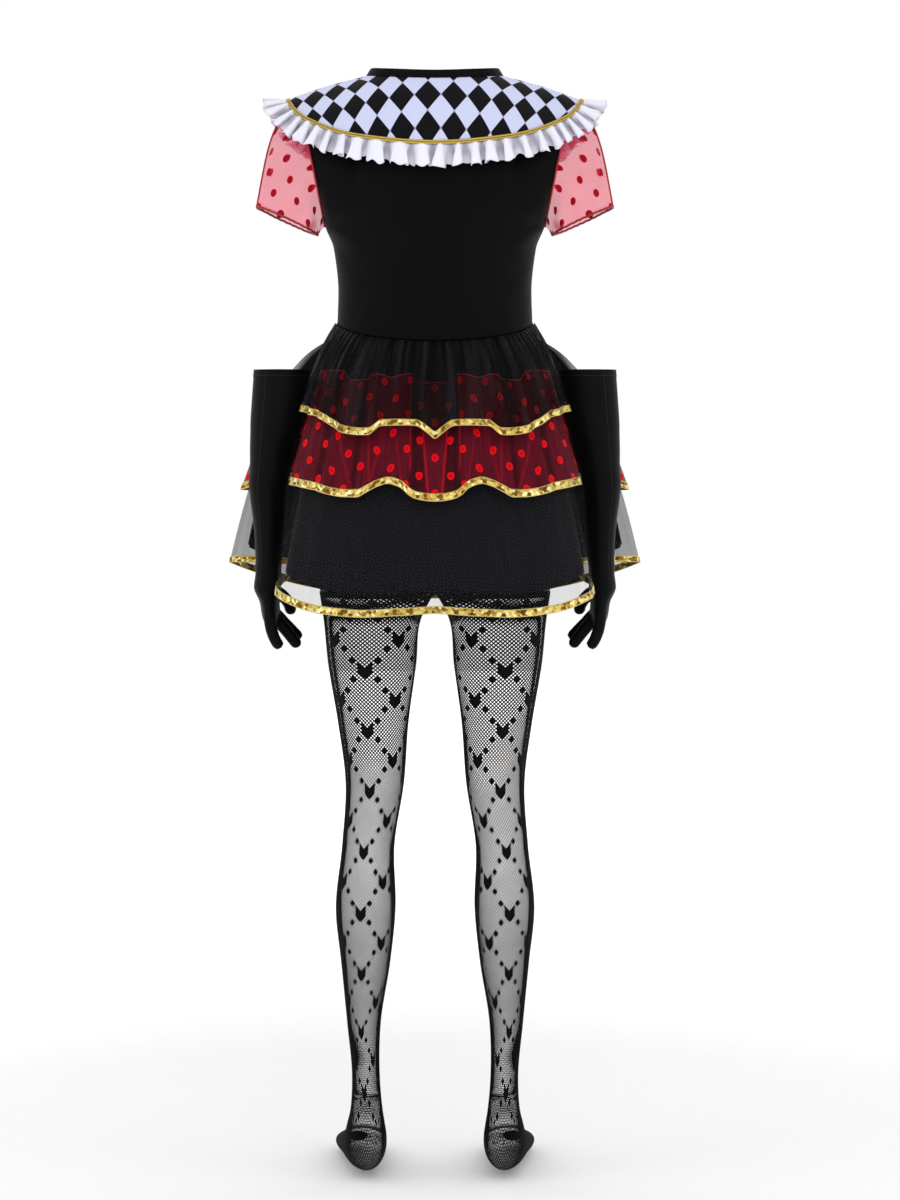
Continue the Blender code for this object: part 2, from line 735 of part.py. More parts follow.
def tights_leg(name, side):
    rings = [crotch_ring(side)]
    rings += [leg_ring(i, side) for i in range(len(LEG["z"]))]
    rings += [foot_ring(i, side) for i in range(len(FOOT["z"]))]
    grid = np.array(rings)
    middle = grid.mean(axis=1, keepdims=True)
    across = np.roll(grid, -1, axis=1) - np.roll(grid, 1, axis=1)
    n = unit(np.cross(across, np.gradient(grid, axis=0)))
    if np.sum(n * (grid - middle)) < 0:
        n = -n
    inner = grid - n * WALL
    inner[0, :, 2] = grid[0, :, 2]
    return wall_between(name, grid, inner, True, toe=True)


def tights_brief(name, side):
    psi = np.radians(np.linspace(0, 180, 13))
    rows = []
    for i in reversed(range(len(BRIEF["z"]))):
        x = 0.0012 + BRIEF["half_x"][i] * np.sin(psi) ** BRIEF["power"][i]
        y = BRIEF["y"][i] - BRIEF["half_y"][i] * np.cos(psi)
        rows.append(np.stack([side * x, y, np.full(len(psi), BRIEF["z"][i])], -1))
    return wall(name, np.array(rows))


def tights_waistband():
    phi = np.radians(np.arange(24) * 360.0 / 24)
    rows = []
    for z in (WAISTBAND_TOP, WAISTBAND_TOP - WAISTBAND_HEIGHT):
        x = WAISTBAND_HALF_WIDTH * np.sin(phi)
        y = -WAISTBAND_HALF_DEPTH * np.cos(phi)
        rows.append(np.stack([x, y, np.full(len(phi), z)], -1))
    return wall("tights_waistband", np.array(rows), closed=True)


def main():
    for obj in list(bpy.data.objects):
        bpy.data.objects.remove(obj, do_unlink=True)
    bodice("bodice_back", CENTRE_BACK, -1.0)
    bodice("bodice_front", CENTRE_FRONT, 1.0)
    neck_binding()
    collar()
    collar_ruffle()
    collar_braid()
    for word, side in (("left", -1.0), ("right", 1.0)):
        sleeve("sleeve_" + word, side)
        glove("glove_" + word, side)
        tights_leg("tights_leg_" + word, side)
        tights_brief("tights_brief_" + word, side)
    tights_waistband()
    fine = GATHERS_PER_HALF * 4 + 1
    for half in ("back", "front"):
        skirt_panel("tier1_" + half, tier1, half, fine, (0.0, 0.12, 0.45, 1.0))
        hem_ribbon("tier1_ribbon_" + half, tier1, half, fine, 0.075)
        skirt_panel("tier2_" + half, tier2, half, 41, (0.0, 0.3, 0.65, 1.0))
        hem_ribbon("tier2_ribbon_" + half, tier2, half, 41, 0.065)
        skirt_panel("tulle_" + half, tulle, half, 33, (0.0, 0.05, 0.16, 0.34, 0.62, 1.0))
        hem_ribbon("tulle_ribbon_" + half, tulle, half, 33, 0.027)
        skirt_panel("underskirt_" + half, underskirt, half, 27, (0.0, 0.06, 0.2, 0.5, 1.0))
    body = bpy.data.objects.new("neck_centre", None)
    bpy.context.scene.collection.objects.link(body)
    body.location = (0.0, 0.0, -NECK_HEIGHT)
    total = 0
    for obj in list(bpy.data.objects):
        if obj.type == "MESH":
            obj.parent = body
            total += len(obj.data.polygons)
            print(obj.name, len(obj.data.polygons))
    print("triangles", total)


main()
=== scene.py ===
"""The looks of a queen costume, laid on its fixed frame: a dress with a cape collar and a
tiered skirt, a pair of long gloves and patterned net tights. Lengths are in metres.
Heights in the tables are above the soles; the origin is the middle of the neck opening,
NECK_HEIGHT above them. The wearer faces +Y, so the back faces -Y.
"""

import math

import bmesh
import bpy
import numpy as np
from bpy.props import FloatProperty, FloatVectorProperty, PointerProperty
from mathutils import Matrix


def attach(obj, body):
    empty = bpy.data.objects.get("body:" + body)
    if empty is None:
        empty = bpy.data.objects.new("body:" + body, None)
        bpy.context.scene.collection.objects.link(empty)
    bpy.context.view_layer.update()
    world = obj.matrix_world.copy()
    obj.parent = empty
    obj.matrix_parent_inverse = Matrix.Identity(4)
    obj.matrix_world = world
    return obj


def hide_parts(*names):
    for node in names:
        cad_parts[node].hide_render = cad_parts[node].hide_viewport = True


bl_info = {
    "name": "Queen costume",
    "version": (1, 0, 0),
    "blender": (4, 5, 0),
    "location": "3D View > Sidebar > Costume",
    "description": "Makes the cloth, trims and finishes of a stage costume on its frame",
    "category": "Object",
}

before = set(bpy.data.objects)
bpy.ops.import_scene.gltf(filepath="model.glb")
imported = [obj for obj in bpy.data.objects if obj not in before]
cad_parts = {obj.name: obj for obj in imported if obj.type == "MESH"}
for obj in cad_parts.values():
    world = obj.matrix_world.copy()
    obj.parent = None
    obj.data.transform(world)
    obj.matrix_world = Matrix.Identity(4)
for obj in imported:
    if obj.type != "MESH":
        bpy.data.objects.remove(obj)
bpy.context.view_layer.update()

# Sizes shared with the frame
NECK_HEIGHT = 1.500
WAIST_HALF_WIDTH = 0.131
WAIST_HALF_DEPTH = 0.098
WAIST_SIDE_Z = 1.163
WAIST_BACK_DROP = 0.029
WAIST_FRONT_DROP = 0.018
COLLAR_EDGE_HALF_WIDTH = 0.198
FRONT_GAP_DEG = 2.2
UNDERSKIRT_END = 0.912
TOE_OUT_DEG = 5.0
WAISTBAND = (0.1282, 0.0966, 1.1860, 1.1640)

# The tables' heights, turned to the frame's by taking this off
SOLES_TO_NECK = np.array([0.0, 0.0, NECK_HEIGHT])
# The middle of the chest: the collar and its ruffle face away from it
CHEST = np.array([0.0, 0.0, 1.30])
# The viewpoint of the photo, above the soles
EYE = np.array([0.0, -4.0, 1.0])


def table(names, *rows):
    """A short table: one array for each named column."""
    data = np.array(rows, dtype=float)
    return {name: data[:, i] for i, name in enumerate(names.split())}


# The bodice's side seam and, above it, the armhole's edge
SIDE_EDGE = table(
    "t x depth z",
    (0.00, 0.1310, 0.000, 1.163),
    (0.18, 0.1298, 0.000, 1.205),
    (0.36, 0.1360, 0.000, 1.262),
    (0.46, 0.1470, 0.002, 1.290),
    (0.54, 0.1500, 0.030, 1.308),
    (0.66, 0.1570, 0.058, 1.348),
    (0.84, 0.1690, 0.052, 1.408),
    (1.00, 0.1780, 0.000, 1.452),
)
# Below this share of the height, side edges nearer than the gap meet at the side seam and overlap
ARMHOLE_START = 0.5
SEAM_GAP = 0.004
SEAM_OVERLAP = 0.0008
CENTRE_BACK = table(
    "t y z",
    (0.00, -0.0980, 1.134),
    (0.25, -0.1000, 1.200),
    (0.50, -0.1080, 1.290),
    (0.68, -0.1120, 1.350),
    (0.85, -0.0960, 1.420),
    (1.00, -0.0600, 1.479),
)
CENTRE_FRONT = table(
    "t y z",
    (0.00, 0.0980, 1.145),
    (0.25, 0.1060, 1.200),
    (0.45, 0.1280, 1.270),
    (0.60, 0.1330, 1.318),
    (0.80, 0.1120, 1.375),
    (1.00, 0.0900, 1.424),
)
SHOULDER_TIP = (0.1780, 0.0, 1.452)
NECK_POINT = (0.0900, 0.0, 1.488)
NECKLINE = table(
    "phi y z",
    (0, -0.0590, 1.4838),
    (45, -0.0430, 1.4872),
    (90, 0.0000, 1.4915),
    (135, 0.0780, 1.4540),
    (160, 0.0960, 1.4355),
    (180, 0.1000, 1.4310),
)
COLLAR_EDGE = table(
    "phi y z",
    (0, -0.1190, 1.3895),
    (30, -0.1030, 1.3995),
    (60, -0.0590, 1.4270),
    (90, 0.0000, 1.4580),
    (120, 0.0690, 1.4240),
    (150, 0.1200, 1.3860),
    (180, 0.1400, 1.3700),
)
HEM = table(
    "phi x y z spread",
    (0, 0.0000, -0.2000, 0.781, 0.70),
    (15, 0.0520, -0.1980, 0.778, 0.70),
    (28, 0.0980, -0.1920, 0.776, 0.70),
    (45, 0.1500, -0.1720, 0.780, 0.72),
    (60, 0.1880, -0.1460, 0.790, 0.75),
    (75, 0.2100, -0.1080, 0.803, 0.78),
    (90, 0.1980, -0.0560, 0.818, 0.80),
    (102, 0.1830, -0.0120, 0.828, 0.78),
    (112, 0.1920, 0.0250, 0.834, 0.65),
    (125, 0.2450, 0.0620, 0.837, 0.45),
    (138, 0.2840, 0.0850, 0.836, 0.38),
    (150, 0.2350, 0.1350, 0.815, 0.45),
    (163, 0.1300, 0.1800, 0.790, 0.55),
    (180, 0.0000, 0.2000, 0.780, 0.60),
)
TIERS = table(
    "phi stand1 stand2 hem1 hem2 inset",
    (0, 0.0240, 0.0130, 1.0060, 0.9250, 0.0120),
    (3, 0.0240, 0.0130, 1.0125, 0.9255, 0.0120),
    (7.8, 0.0240, 0.0130, 1.0222, 0.9285, 0.0120),
    (10, 0.0235, 0.0125, 1.0228, 0.9315, 0.0120),
    (14.5, 0.0230, 0.0110, 1.0230, 0.9432, 0.0120),
    (19.3, 0.0225, 0.0100, 1.0228, 0.9477, 0.0120),
    (23.5, 0.0235, 0.0090, 1.0222, 0.9442, 0.0120),
    (28, 0.0250, 0.0095, 1.0108, 0.9365, 0.0120),
    (32, 0.0260, 0.0110, 1.0106, 0.9302, 0.0120),
    (37, 0.0255, 0.0125, 1.0122, 0.9304, 0.0115),
    (43.5, 0.0240, 0.0140, 1.0180, 0.9325, 0.0110),
    (55, 0.0210, 0.0130, 1.0330, 0.9400, 0.0090),
    (75, 0.0150, 0.0090, 1.0430, 0.9465, 0.0060),
    (90, 0.0080, 0.0045, 1.0475, 0.9495, 0.0020),
    (102, 0.0060, 0.0030, 1.0490, 0.9510, 0.0020),
    (112, 0.0065, 0.0032, 1.0490, 0.9510, 0.0050),
    (125, 0.0110, 0.0050, 1.0460, 0.9480, 0.0160),
    (138, 0.0180, 0.0080, 1.0360, 0.9360, 0.0240),
    (150, 0.0220, 0.0110, 1.0180, 0.9340, 0.0180),
    (160, 0.0220, 0.0100, 1.0300, 0.9510, 0.0140),
    (172, 0.0230, 0.0120, 1.0260, 0.9380, 0.0120),
    (180, 0.0240, 0.0130, 1.0120, 0.9310, 0.0120),
)
# The tiers stand off the skirt level, so that their hems keep the heights of the table
LEVEL = np.array([1.0, 1.0, 0.0])
# The spotted tier's overlocked top edge, which steps from panel to panel
TOP_EDGE = table(
    "phi z",
    (0, 1.0790),
    (6.4, 1.0782),
    (8.5, 1.0800),
    (11.3, 1.0895),
    (15, 1.0900),
    (22, 1.0858),
    (29, 1.0902),
    (33, 1.0892),
    (34.5, 1.0835),
    (45, 1.0825),
    (49, 1.0900),
    (52, 1.0950),
    (68, 1.0962),
    (90, 1.0930),
    (130, 1.0925),
    (160, 1.0900),
    (180, 1.0850),
)
# How much cloth there is in the overskirt: dense where it is bunched at the side fronts
VEIL = table(
    "phi cover",
    (0, 0.26),
    (60, 0.27),
    (95, 0.40),
    (115, 0.46),
    (150, 0.46),
    (180, 0.30),
)
GLOVE = table(
    "z x y half_x half_y",
    (0.7530, 0.2190, 0.004, 0.0085, 0.0300),
    (0.7660, 0.2215, 0.004, 0.0118, 0.0350),
    (0.7850, 0.2235, 0.004, 0.0128, 0.0330),
    (0.8056, 0.2264, 0.002, 0.0180, 0.0270),
    (0.8258, 0.2250, 0.000, 0.0170, 0.0240),
    (0.8745, 0.2241, 0.000, 0.0190, 0.0250),
    (0.9310, 0.2255, 0.000, 0.0240, 0.0280),
    (0.9770, 0.2200, 0.000, 0.0290, 0.0320),
    (1.0470, 0.2106, 0.000, 0.0365, 0.0370),
    (1.0985, 0.2055, 0.000, 0.0378, 0.0380),
)
FINGERS = table(
    "y0 y1 x0 z0 xm zm x1 z1 radius",
    (-0.0225, -0.0200, 0.2220, 0.770, 0.2195, 0.748, 0.2115, 0.7300, 0.0078),
    (-0.0050, -0.0030, 0.2200, 0.770, 0.2040, 0.751, 0.1880, 0.7305, 0.0080),
    (0.0130, 0.0150, 0.2200, 0.771, 0.2030, 0.755, 0.1875, 0.7395, 0.0080),
    (0.0300, 0.0330, 0.2200, 0.771, 0.2040, 0.754, 0.1920, 0.7360, 0.0078),
    (0.0200, 0.0420, 0.2230, 0.803, 0.2050, 0.790, 0.1972, 0.7735, 0.0082),
)
LEG = table(
    "z x half_x half_y y",
    (0.7600, 0.0850, 0.0648, 0.0720, -0.002),
    (0.7043, 0.0850, 0.0594, 0.0650, 0.000),
    (0.6220, 0.0837, 0.0473, 0.0560, 0.002),
    (0.5400, 0.0818, 0.0392, 0.0480, 0.002),
    (0.4560, 0.0905, 0.0351, 0.0430, -0.006),
    (0.3696, 0.0940, 0.0400, 0.0500, -0.014),
    (0.3000, 0.0940, 0.0330, 0.0440, -0.015),
    (0.2143, 0.0965, 0.0223, 0.0310, -0.014),
    (0.1400, 0.0940, 0.0185, 0.0270, -0.012),
)
FOOT = table(
    "tilt y z half_x half_up",
    (18, -0.010, 0.094, 0.0215, 0.0330),
    (45, -0.004, 0.060, 0.0270, 0.0480),
    (70, 0.026, 0.042, 0.0290, 0.0380),
    (88, 0.070, 0.031, 0.0320, 0.0265),
    (90, 0.115, 0.023, 0.0345, 0.0190),
    (90, 0.158, 0.0165, 0.0290, 0.0135),
    (90, 0.184, 0.0130, 0.0130, 0.0075),
)
BRIEF = table(
    "z half_x half_y y power",
    (0.8006, 0.1545, 0.0880, -0.002, 0.75),
    (0.8800, 0.1610, 0.1020, -0.006, 0.85),
    (0.9600, 0.1510, 0.0990, -0.003, 1.00),
    (1.0500, 0.1350, 0.0940, 0.000, 1.00),
    (1.1636, 0.1250, 0.0930, 0.000, 1.00),
)

# The collar's flat cut is part of a ring: its inner radius and its share of a full turn
COLLAR_CUT_RADIUS = 0.0913
COLLAR_CUT_TURN = 0.906
# The middle of one pale check in that cut
CHECK_MIDDLE = (0.0069, -0.1531)

# The net: wales round a leg, and the height of half a mesh
NET_WALES = 64
NET_HALF_ROW = 0.00257
HEART_ANGLE = -81.5625
HEART_HEIGHT = 0.6940
PLAIN_BELOW = 0.0900
# The knots' spacing at which a thread has its full width
NET_SPACING = 0.0038
# The hidden front, from this sine of the angle on, has no hearts and no diamonds
HIDDEN_FRONT = 0.30
# The front's meshes move behind the back's between these heights and from these sines of the angle
MOVED_ABOVE = (0.090, 0.130)
MOVED_BELOW = (0.755, 0.800)
MOVED_FROM = (0.20, 0.70)
# They move by so many half meshes up or down, and across, at most
MOST_UP = 12
MOST_ACROSS = 2.5
# How far a net thread is turned out of the cloth's plane
THREAD_TILT = 0.50
# A heart's closed meshes, for each half row up from its middle
HEART_ROWS = {
    5: (-3, 3),
    4: (-2, 2),
    3: (-3, -1, 1, 3),
    2: (-2, 0, 2),
    1: (-3, -1, 1, 3),
    0: (-2, 0, 2),
    -1: (-1, 1),
    -2: (0,),
}
# The small diamonds between two hearts, as half meshes across and up from a heart
DIAMONDS = ((6, 7), (-6, 7), (10, 13), (-10, 13))


class CostumeSizes(bpy.types.PropertyGroup):
    """Sizes that a maker would change."""

    ruffle_width: FloatProperty(
        name="Ruffle width", description="From the braid to the ruffle's edge", default=0.028, unit="LENGTH"
    )
    ruffle_depth: FloatProperty(
        name="Ruffle depth", description="Half the height of one flute", default=0.0062, unit="LENGTH"
    )
    diamond_width: FloatProperty(
        name="Check width", description="Across one diamond of the collar", default=0.0300, unit="LENGTH"
    )
    diamond_height: FloatProperty(
        name="Check height", description="Along one diamond of the collar", default=0.0550, unit="LENGTH"
    )
    dot_size: FloatProperty(
        name="Dot size", description="Across one flocked dot", default=0.0116, unit="LENGTH"
    )
    dot_pitch: FloatProperty(
        name="Dot pitch", description="Between two dots of a row", default=0.0340, unit="LENGTH"
    )
    thread_width: FloatProperty(
        name="Net thread", description="Width of the tights' thread", default=0.00180, unit="LENGTH"
    )
    gather_depth: FloatProperty(
        name="Gathers", description="Depth of the top tier's gathers", default=0.0028, unit="LENGTH"
    )


class CostumeColours(bpy.types.PropertyGroup):
    """Colours that a maker would change."""

    black: FloatVectorProperty(
        name="Black", description="Bodice and neck binding", subtype="COLOR",
        default=(0.0014, 0.0014, 0.0017),
    )
    red: FloatVectorProperty(
        name="Red", description="Front bodice", subtype="COLOR", default=(0.30, 0.004, 0.012)
    )
    lilac: FloatVectorProperty(
        name="Lilac", description="Pale checks of the collar", subtype="COLOR",
        default=(0.545, 0.575, 0.78),
    )
    white: FloatVectorProperty(
        name="White", description="Ruffle", subtype="COLOR", default=(0.71, 0.71, 0.80)
    )
    gold: FloatVectorProperty(
        name="Gold", description="Foil of the ribbons", subtype="COLOR", default=(0.47, 0.34, 0.070)
    )
    spot: FloatVectorProperty(
        name="Spot", description="Flocked dots of the skirt", subtype="COLOR", default=(0.62, 0.001, 0.004)
    )
    wine: FloatVectorProperty(
        name="Wine", description="Spotted tier", subtype="COLOR", default=(0.130, 0.004, 0.014)
    )
    pink: FloatVectorProperty(
        name="Pink", description="Sleeve net", subtype="COLOR", default=(0.86, 0.030, 0.110)
    )


def smooth(tab, key, name, at, level_ends=False):
    """Monotone cubic interpolation of one named column."""
    x = tab[key]
    y = tab[name]
    step = np.diff(x)
    rise = np.diff(y) / step
    slope = np.zeros(len(x))
    both = rise[:-1] * rise[1:]
    total = rise[:-1] + rise[1:]
    safe = np.where(np.abs(total) < 1e-12, 1.0, total)
    slope[1:-1] = np.where(both > 0, 2.0 * both / safe, 0.0)
    if not level_ends:
        slope[0] = rise[0]
        slope[-1] = rise[-1]
    at = np.asarray(at, dtype=float)
    i = np.clip(np.searchsorted(x, at, side="right") - 1, 0, len(step) - 1)
    t = (at - x[i]) / step[i]
    h00 = (1 + 2 * t) * (1 - t) ** 2
    h10 = t * (1 - t) ** 2
    h01 = t * t * (3 - 2 * t)
    h11 = t * t * (t - 1)
    return h00 * y[i] + h10 * step[i] * slope[i] + h01 * y[i + 1] + h11 * step[i] * slope[i + 1]


def unit(v):
    return v / np.maximum(np.linalg.norm(v, axis=-1, keepdims=True), 1e-12)


def signed(phi):
    """The angle round the body brought into -180 to 180 degrees."""
    return (np.asarray(phi, dtype=float) + 180.0) % 360.0 - 180.0


def mirrored(tab, name, phi):
    """A column of a table by angle, the same on both sides of the body."""
    return smooth(tab, "phi", name, np.abs(signed(phi)), level_ends=True)


def step_up(x, low, high):
    """0 below low, 1 above high, smooth between."""
    t = np.clip((np.asarray(x, dtype=float) - low) / (high - low), 0.0, 1.0)
    return t * t * (3 - 2 * t)


def bell(x, centre, width):
    return np.exp(-(((x - centre) / width) ** 2))


def grid_normals(grid, closed, centre=None):
    """Unit normals of a grid of points, away from the line of centres."""
    if closed:
        across = np.roll(grid, -1, axis=1) - np.roll(grid, 1, axis=1)
    else:
        across = np.gradient(grid, axis=1)
    n = unit(np.cross(across, np.gradient(grid, axis=0)))
    if centre is None:
        centre = grid * np.array([0.0, 0.0, 1.0])
    if np.sum(n * (grid - centre)) < 0:
        n = -n
    return n


def lengths(grid, axis):
    """Running length along one axis of a grid of points."""
    step = np.linalg.norm(np.diff(grid, axis=axis), axis=-1)
    return np.insert(np.cumsum(step, axis=axis), 0, 0.0, axis=axis)


def wrapped(grid):
    """A closed grid with its first column again at its end."""
    return np.concatenate([grid, grid[:, :1]], axis=1)


def hem_length(grid):
    """The length of a grid's last row."""
    return float(lengths(grid[-1:], 1)[0, -1])


def upright(flat):
    """The unit normal of a cloth that slopes along these directions, on its upper side."""
    x, y, z = flat[..., 0], flat[..., 1], flat[..., 2]
    return unit(np.stack([-x * z, -y * z, x**2 + y**2], -1))


def read_off(share, values):
    """Directions at shares (0-1) of the way along a list of directions."""
    at = np.linspace(0, 1, len(values))
    return np.stack([np.interp(share, at, values[:, k]) for k in range(3)], -1)


def resampled(rings, count):
    """Rings of points spread evenly, in mean length, along a smooth loft."""
    mean = lengths(rings, 0).mean(axis=1)
    at = np.linspace(0.0, mean[-1], count)
    i = np.clip(np.searchsorted(mean, at, side="right") - 1, 0, len(mean) - 2)
    t = ((at - mean[i]) / (mean[i + 1] - mean[i]))[:, None, None]
    slope = np.gradient(rings, mean, axis=0)
    size = (mean[i + 1] - mean[i])[:, None, None]
    return (
        (1 + 2 * t) * (1 - t) ** 2 * rings[i]
        + t * (1 - t) ** 2 * size * slope[i]
        + t * t * (3 - 2 * t) * rings[i + 1]
        + t * t * (t - 1) * size * slope[i + 1]
    )


# Pieces
def link(name, mesh):
    obj = bpy.data.objects.new(name, mesh)
    bpy.context.scene.collection.objects.link(obj)
    return obj


def cloth(name, grid, finish, uv=None, closed=False, thickness=0.0, marks=None, centre=None):
    """A sheet from a grid of points with its cut in metres as UV map, faces outward."""
    rows, cols = grid.shape[:2]
    low = grid - SOLES_TO_NECK
    last = cols if closed else cols - 1
    n = grid_normals(grid, closed, centre)
    raw = np.cross(np.roll(grid, -1, axis=1) - grid, np.roll(grid, -1, axis=0) - grid)[:-1, :-1]
    turned = np.sum(raw * n[:-1, :-1]) > 0
    r, c = np.meshgrid(np.arange(rows - 1), np.arange(last), indexing="ij")
    d = (c + 1) % cols
    loop = [(r, c), (r, d), (r + 1, d), (r + 1, c)]
    tex = [(r, c), (r, c + 1), (r + 1, c + 1), (r + 1, c)]
    if not turned:
        loop.reverse()
        tex.reverse()
    faces = np.stack([(a * cols + b).ravel() for a, b in loop], axis=1)
    mesh = bpy.data.meshes.new(name)
    mesh.from_pydata(low.reshape(-1, 3).tolist(), [], faces.tolist())
    if uv is None:
        wide = wrapped(grid) if closed else grid
        across = lengths(wide, 1)
        uv = np.stack([across, -lengths(wide, 0)], -1)
    layer = mesh.uv_layers.new(name="cut")
    flat_uv = np.stack([uv[a, b].reshape(-1, 2) for a, b in tex], axis=1)
    layer.data.foreach_set("uv", flat_uv.astype(np.float32).ravel())
    for mark, values in (marks or {}).items():
        item = mesh.attributes.new(mark, "FLOAT", "POINT")
        item.data.foreach_set("value", np.asarray(values, dtype=np.float32).ravel())
    mesh.polygons.foreach_set("use_smooth", [True] * len(mesh.polygons))
    mesh.materials.append(finish)
    mesh.update()
    obj = link(name, mesh)
    if thickness:
        shell = obj.modifiers.new("cloth thickness", "SOLIDIFY")
        shell.thickness = thickness
        shell.offset = -1.0
        shell.use_even_offset = False
    return obj


def surface_area(grid, closed):
    if closed:
        grid = wrapped(grid)
    a = np.cross(grid[1:, :-1] - grid[:-1, :-1], grid[:-1, 1:] - grid[:-1, :-1])
    b = np.cross(grid[1:, :-1] - grid[1:, 1:], grid[:-1, 1:] - grid[1:, 1:])
    return float((np.linalg.norm(a, axis=-1) + np.linalg.norm(b, axis=-1)).sum() / 2)


def settle(obj, slot, *nodes):
    """The piece rides on the part's one body and stands for its solids."""
    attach(obj, "root")
    if nodes:
        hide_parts(*nodes)
    return obj


def declare(grid, closed=False):
    """Works out the sheet's flat cut on the built grid, widest row, longest column and area, and keeps none
    of it.
    """
    ring = wrapped(grid) if closed else grid
    width = float(lengths(ring, 1)[:, -1].max())
    length = float(lengths(grid, 0)[-1].max())
    area = min(surface_area(grid, closed), width * length)


def creased(grid, normals, rows):
    """Listed creases: (column 0-1, row 0-1, column, row, width, depth) lines pushed in or out."""
    count_r, count_c = grid.shape[:2]
    r = np.linspace(0, 1, count_r)[:, None]
    c = np.linspace(0, 1, count_c)[None, :]
    push = np.zeros((count_r, count_c))
    for c0, r0, c1, r1, width, depth in rows:
        dc = c1 - c0
        dr = r1 - r0
        t = np.clip(((c - c0) * dc + (r - r0) * dr) / (dc * dc + dr * dr), 0.0, 1.0)
        off = np.hypot(c - c0 - t * dc, r - r0 - t * dr)
        push += depth * np.exp(-((off / width) ** 2)) * np.sin(math.pi * np.clip(t * 0.9 + 0.05, 0, 1))
    return grid + normals * push[..., None]


# The bodice
def bodice_point(phi, t, centre, sign):
    """sign is -1 for the back and 1 for the front; phi runs -90 to 90 across the panel."""
    s = np.abs(phi) / 90.0
    a = np.radians(phi)
    ex = smooth(SIDE_EDGE, "t", "x", t)
    ey = smooth(SIDE_EDGE, "t", "depth", t) * sign
    ez = smooth(SIDE_EDGE, "t", "z", t)
    cy = smooth(centre, "t", "y", t)
    cz = smooth(centre, "t", "z", t)
    x = ex * np.sin(a)
    y = ey + (cy - ey) * np.cos(a)
    z = ez + (cz - ez) * np.cos(a)
    tip = np.array(SHOULDER_TIP)
    neck = np.array(NECK_POINT)
    top_y = centre["y"][-1]
    top_z = centre["z"][-1]
    arc = np.stack([tip[0] * np.sin(a), top_y * np.cos(a), tip[2] + (top_z - tip[2]) * np.cos(a)], -1)
    u = np.clip((s - 0.5) / 0.5, 0, 1)[..., None]
    shoulder = neck + (tip - neck) * u
    q = np.clip(s / 0.5, 0, 1) * math.pi / 2
    line = np.stack(
        [neck[0] * np.sin(q), top_y * np.cos(q), neck[2] + (top_z - neck[2]) * np.cos(q)], -1
    )
    top = np.where((s > 0.5)[..., None], shoulder, line)
    side = np.sign(np.where(phi == 0, 1, phi))
    top = top * np.stack([side, np.ones_like(side), np.ones_like(side)], -1)
    mix = (np.asarray(t) ** 4)[..., None]
    return np.stack([x, y, z], -1) + mix * (top - arc)


def bodice_grid(centre, sign, columns=97, rows=90):
    phi, t = np.meshgrid(np.linspace(-89.9, 89.9, columns), np.linspace(1.0, 0.0, rows))
    grid = bodice_point(phi, t, centre, sign)
    grid[0, :, 1] += sign * 0.0009
    seam = (t[:, 0] < ARMHOLE_START) & (np.abs(grid[:, 0, 1]) < SEAM_GAP)
    grid[seam, 0, 1] = -sign * SEAM_OVERLAP
    grid[seam, -1, 1] = -sign * SEAM_OVERLAP
    return grid


# The neck and collar
def neckline(phi):
    p = signed(phi)
    return np.stack(
        [0.0885 * np.sin(np.radians(p)), mirrored(NECKLINE, "y", p), mirrored(NECKLINE, "z", p)], -1
    )


def collar_edge(phi):
    p = signed(phi)
    width = COLLAR_EDGE_HALF_WIDTH
    return np.stack(
        [width * np.sin(np.radians(p)), mirrored(COLLAR_EDGE, "y", p), mirrored(COLLAR_EDGE, "z", p)],
        -1,
    )


def collar_point(phi, r):
    """r runs from the neck seam (0) to the outer edge (1)."""
    inner = neckline(phi)
    outer = collar_edge(phi)
    back = np.cos(np.radians(signed(phi)))
    bow = 4 * r * (1 - r) * (0.0025 + 0.0055 * back**2)
    up = upright(unit(outer - inner))
    return inner + (outer - inner) * np.asarray(r)[..., None] + up * bow[..., None]


def open_ring(count):
    return np.linspace(-180 + FRONT_GAP_DEG, 180 - FRONT_GAP_DEG, count)


def ruffle_direction(phi):
    p = signed(phi)
    slope = unit(collar_edge(p) - collar_point(p, 0.75 + 0 * p))
    turned = np.abs(np.cos(np.radians(p)))
    fall = np.interp(turned, (0.0, 0.17, 0.34, 0.60, 1.0), (0.28, 0.05, -0.22, -0.50, -0.65))
    return unit(slope + np.stack([0 * p, 0 * p, fall], -1))


# The sleeves
def armhole(theta, side):
    """The armhole's edge; theta 0 is the shoulder, 90 the back, 180 the underarm."""
    th = np.asarray(theta, dtype=float) % 360.0
    back = th <= 180.0
    f = np.where(back, th, 360.0 - th) / 180.0
    t = 1.0 - f * 0.54
    sign = np.where(back, -1.0, 1.0)
    x = smooth(SIDE_EDGE, "t", "x", t)
    y = smooth(SIDE_EDGE, "t", "depth", t) * sign
    z = smooth(SIDE_EDGE, "t", "z", t)
    return np.stack([side * x, y, z], -1)


def sleeve_point(theta, v, side):
    """v runs from the armhole (0) to the sleeve's hem (1)."""
    a = np.radians(theta)
    start = armhole(theta, side)
    lift = np.array([side * 0.0011, 0.0, 0.0004])
    end = np.stack(
        [side * (0.199 + 0.0407 * np.cos(a)), -0.058 * np.sin(a), 1.2985 + 0.0185 * np.cos(a)], -1
    )
    ease = (v**0.92)[..., None]
    puff = np.sin(math.pi * np.clip(v, 0.0, 1.0) ** 0.72)
    top = np.maximum(0.0, np.cos(a)) ** 1.2
    push = 0.024 * (puff * top)[..., None] * np.array([side * 0.45, 0.0, 0.89])
    return start + lift + (end - start - lift) * ease + push


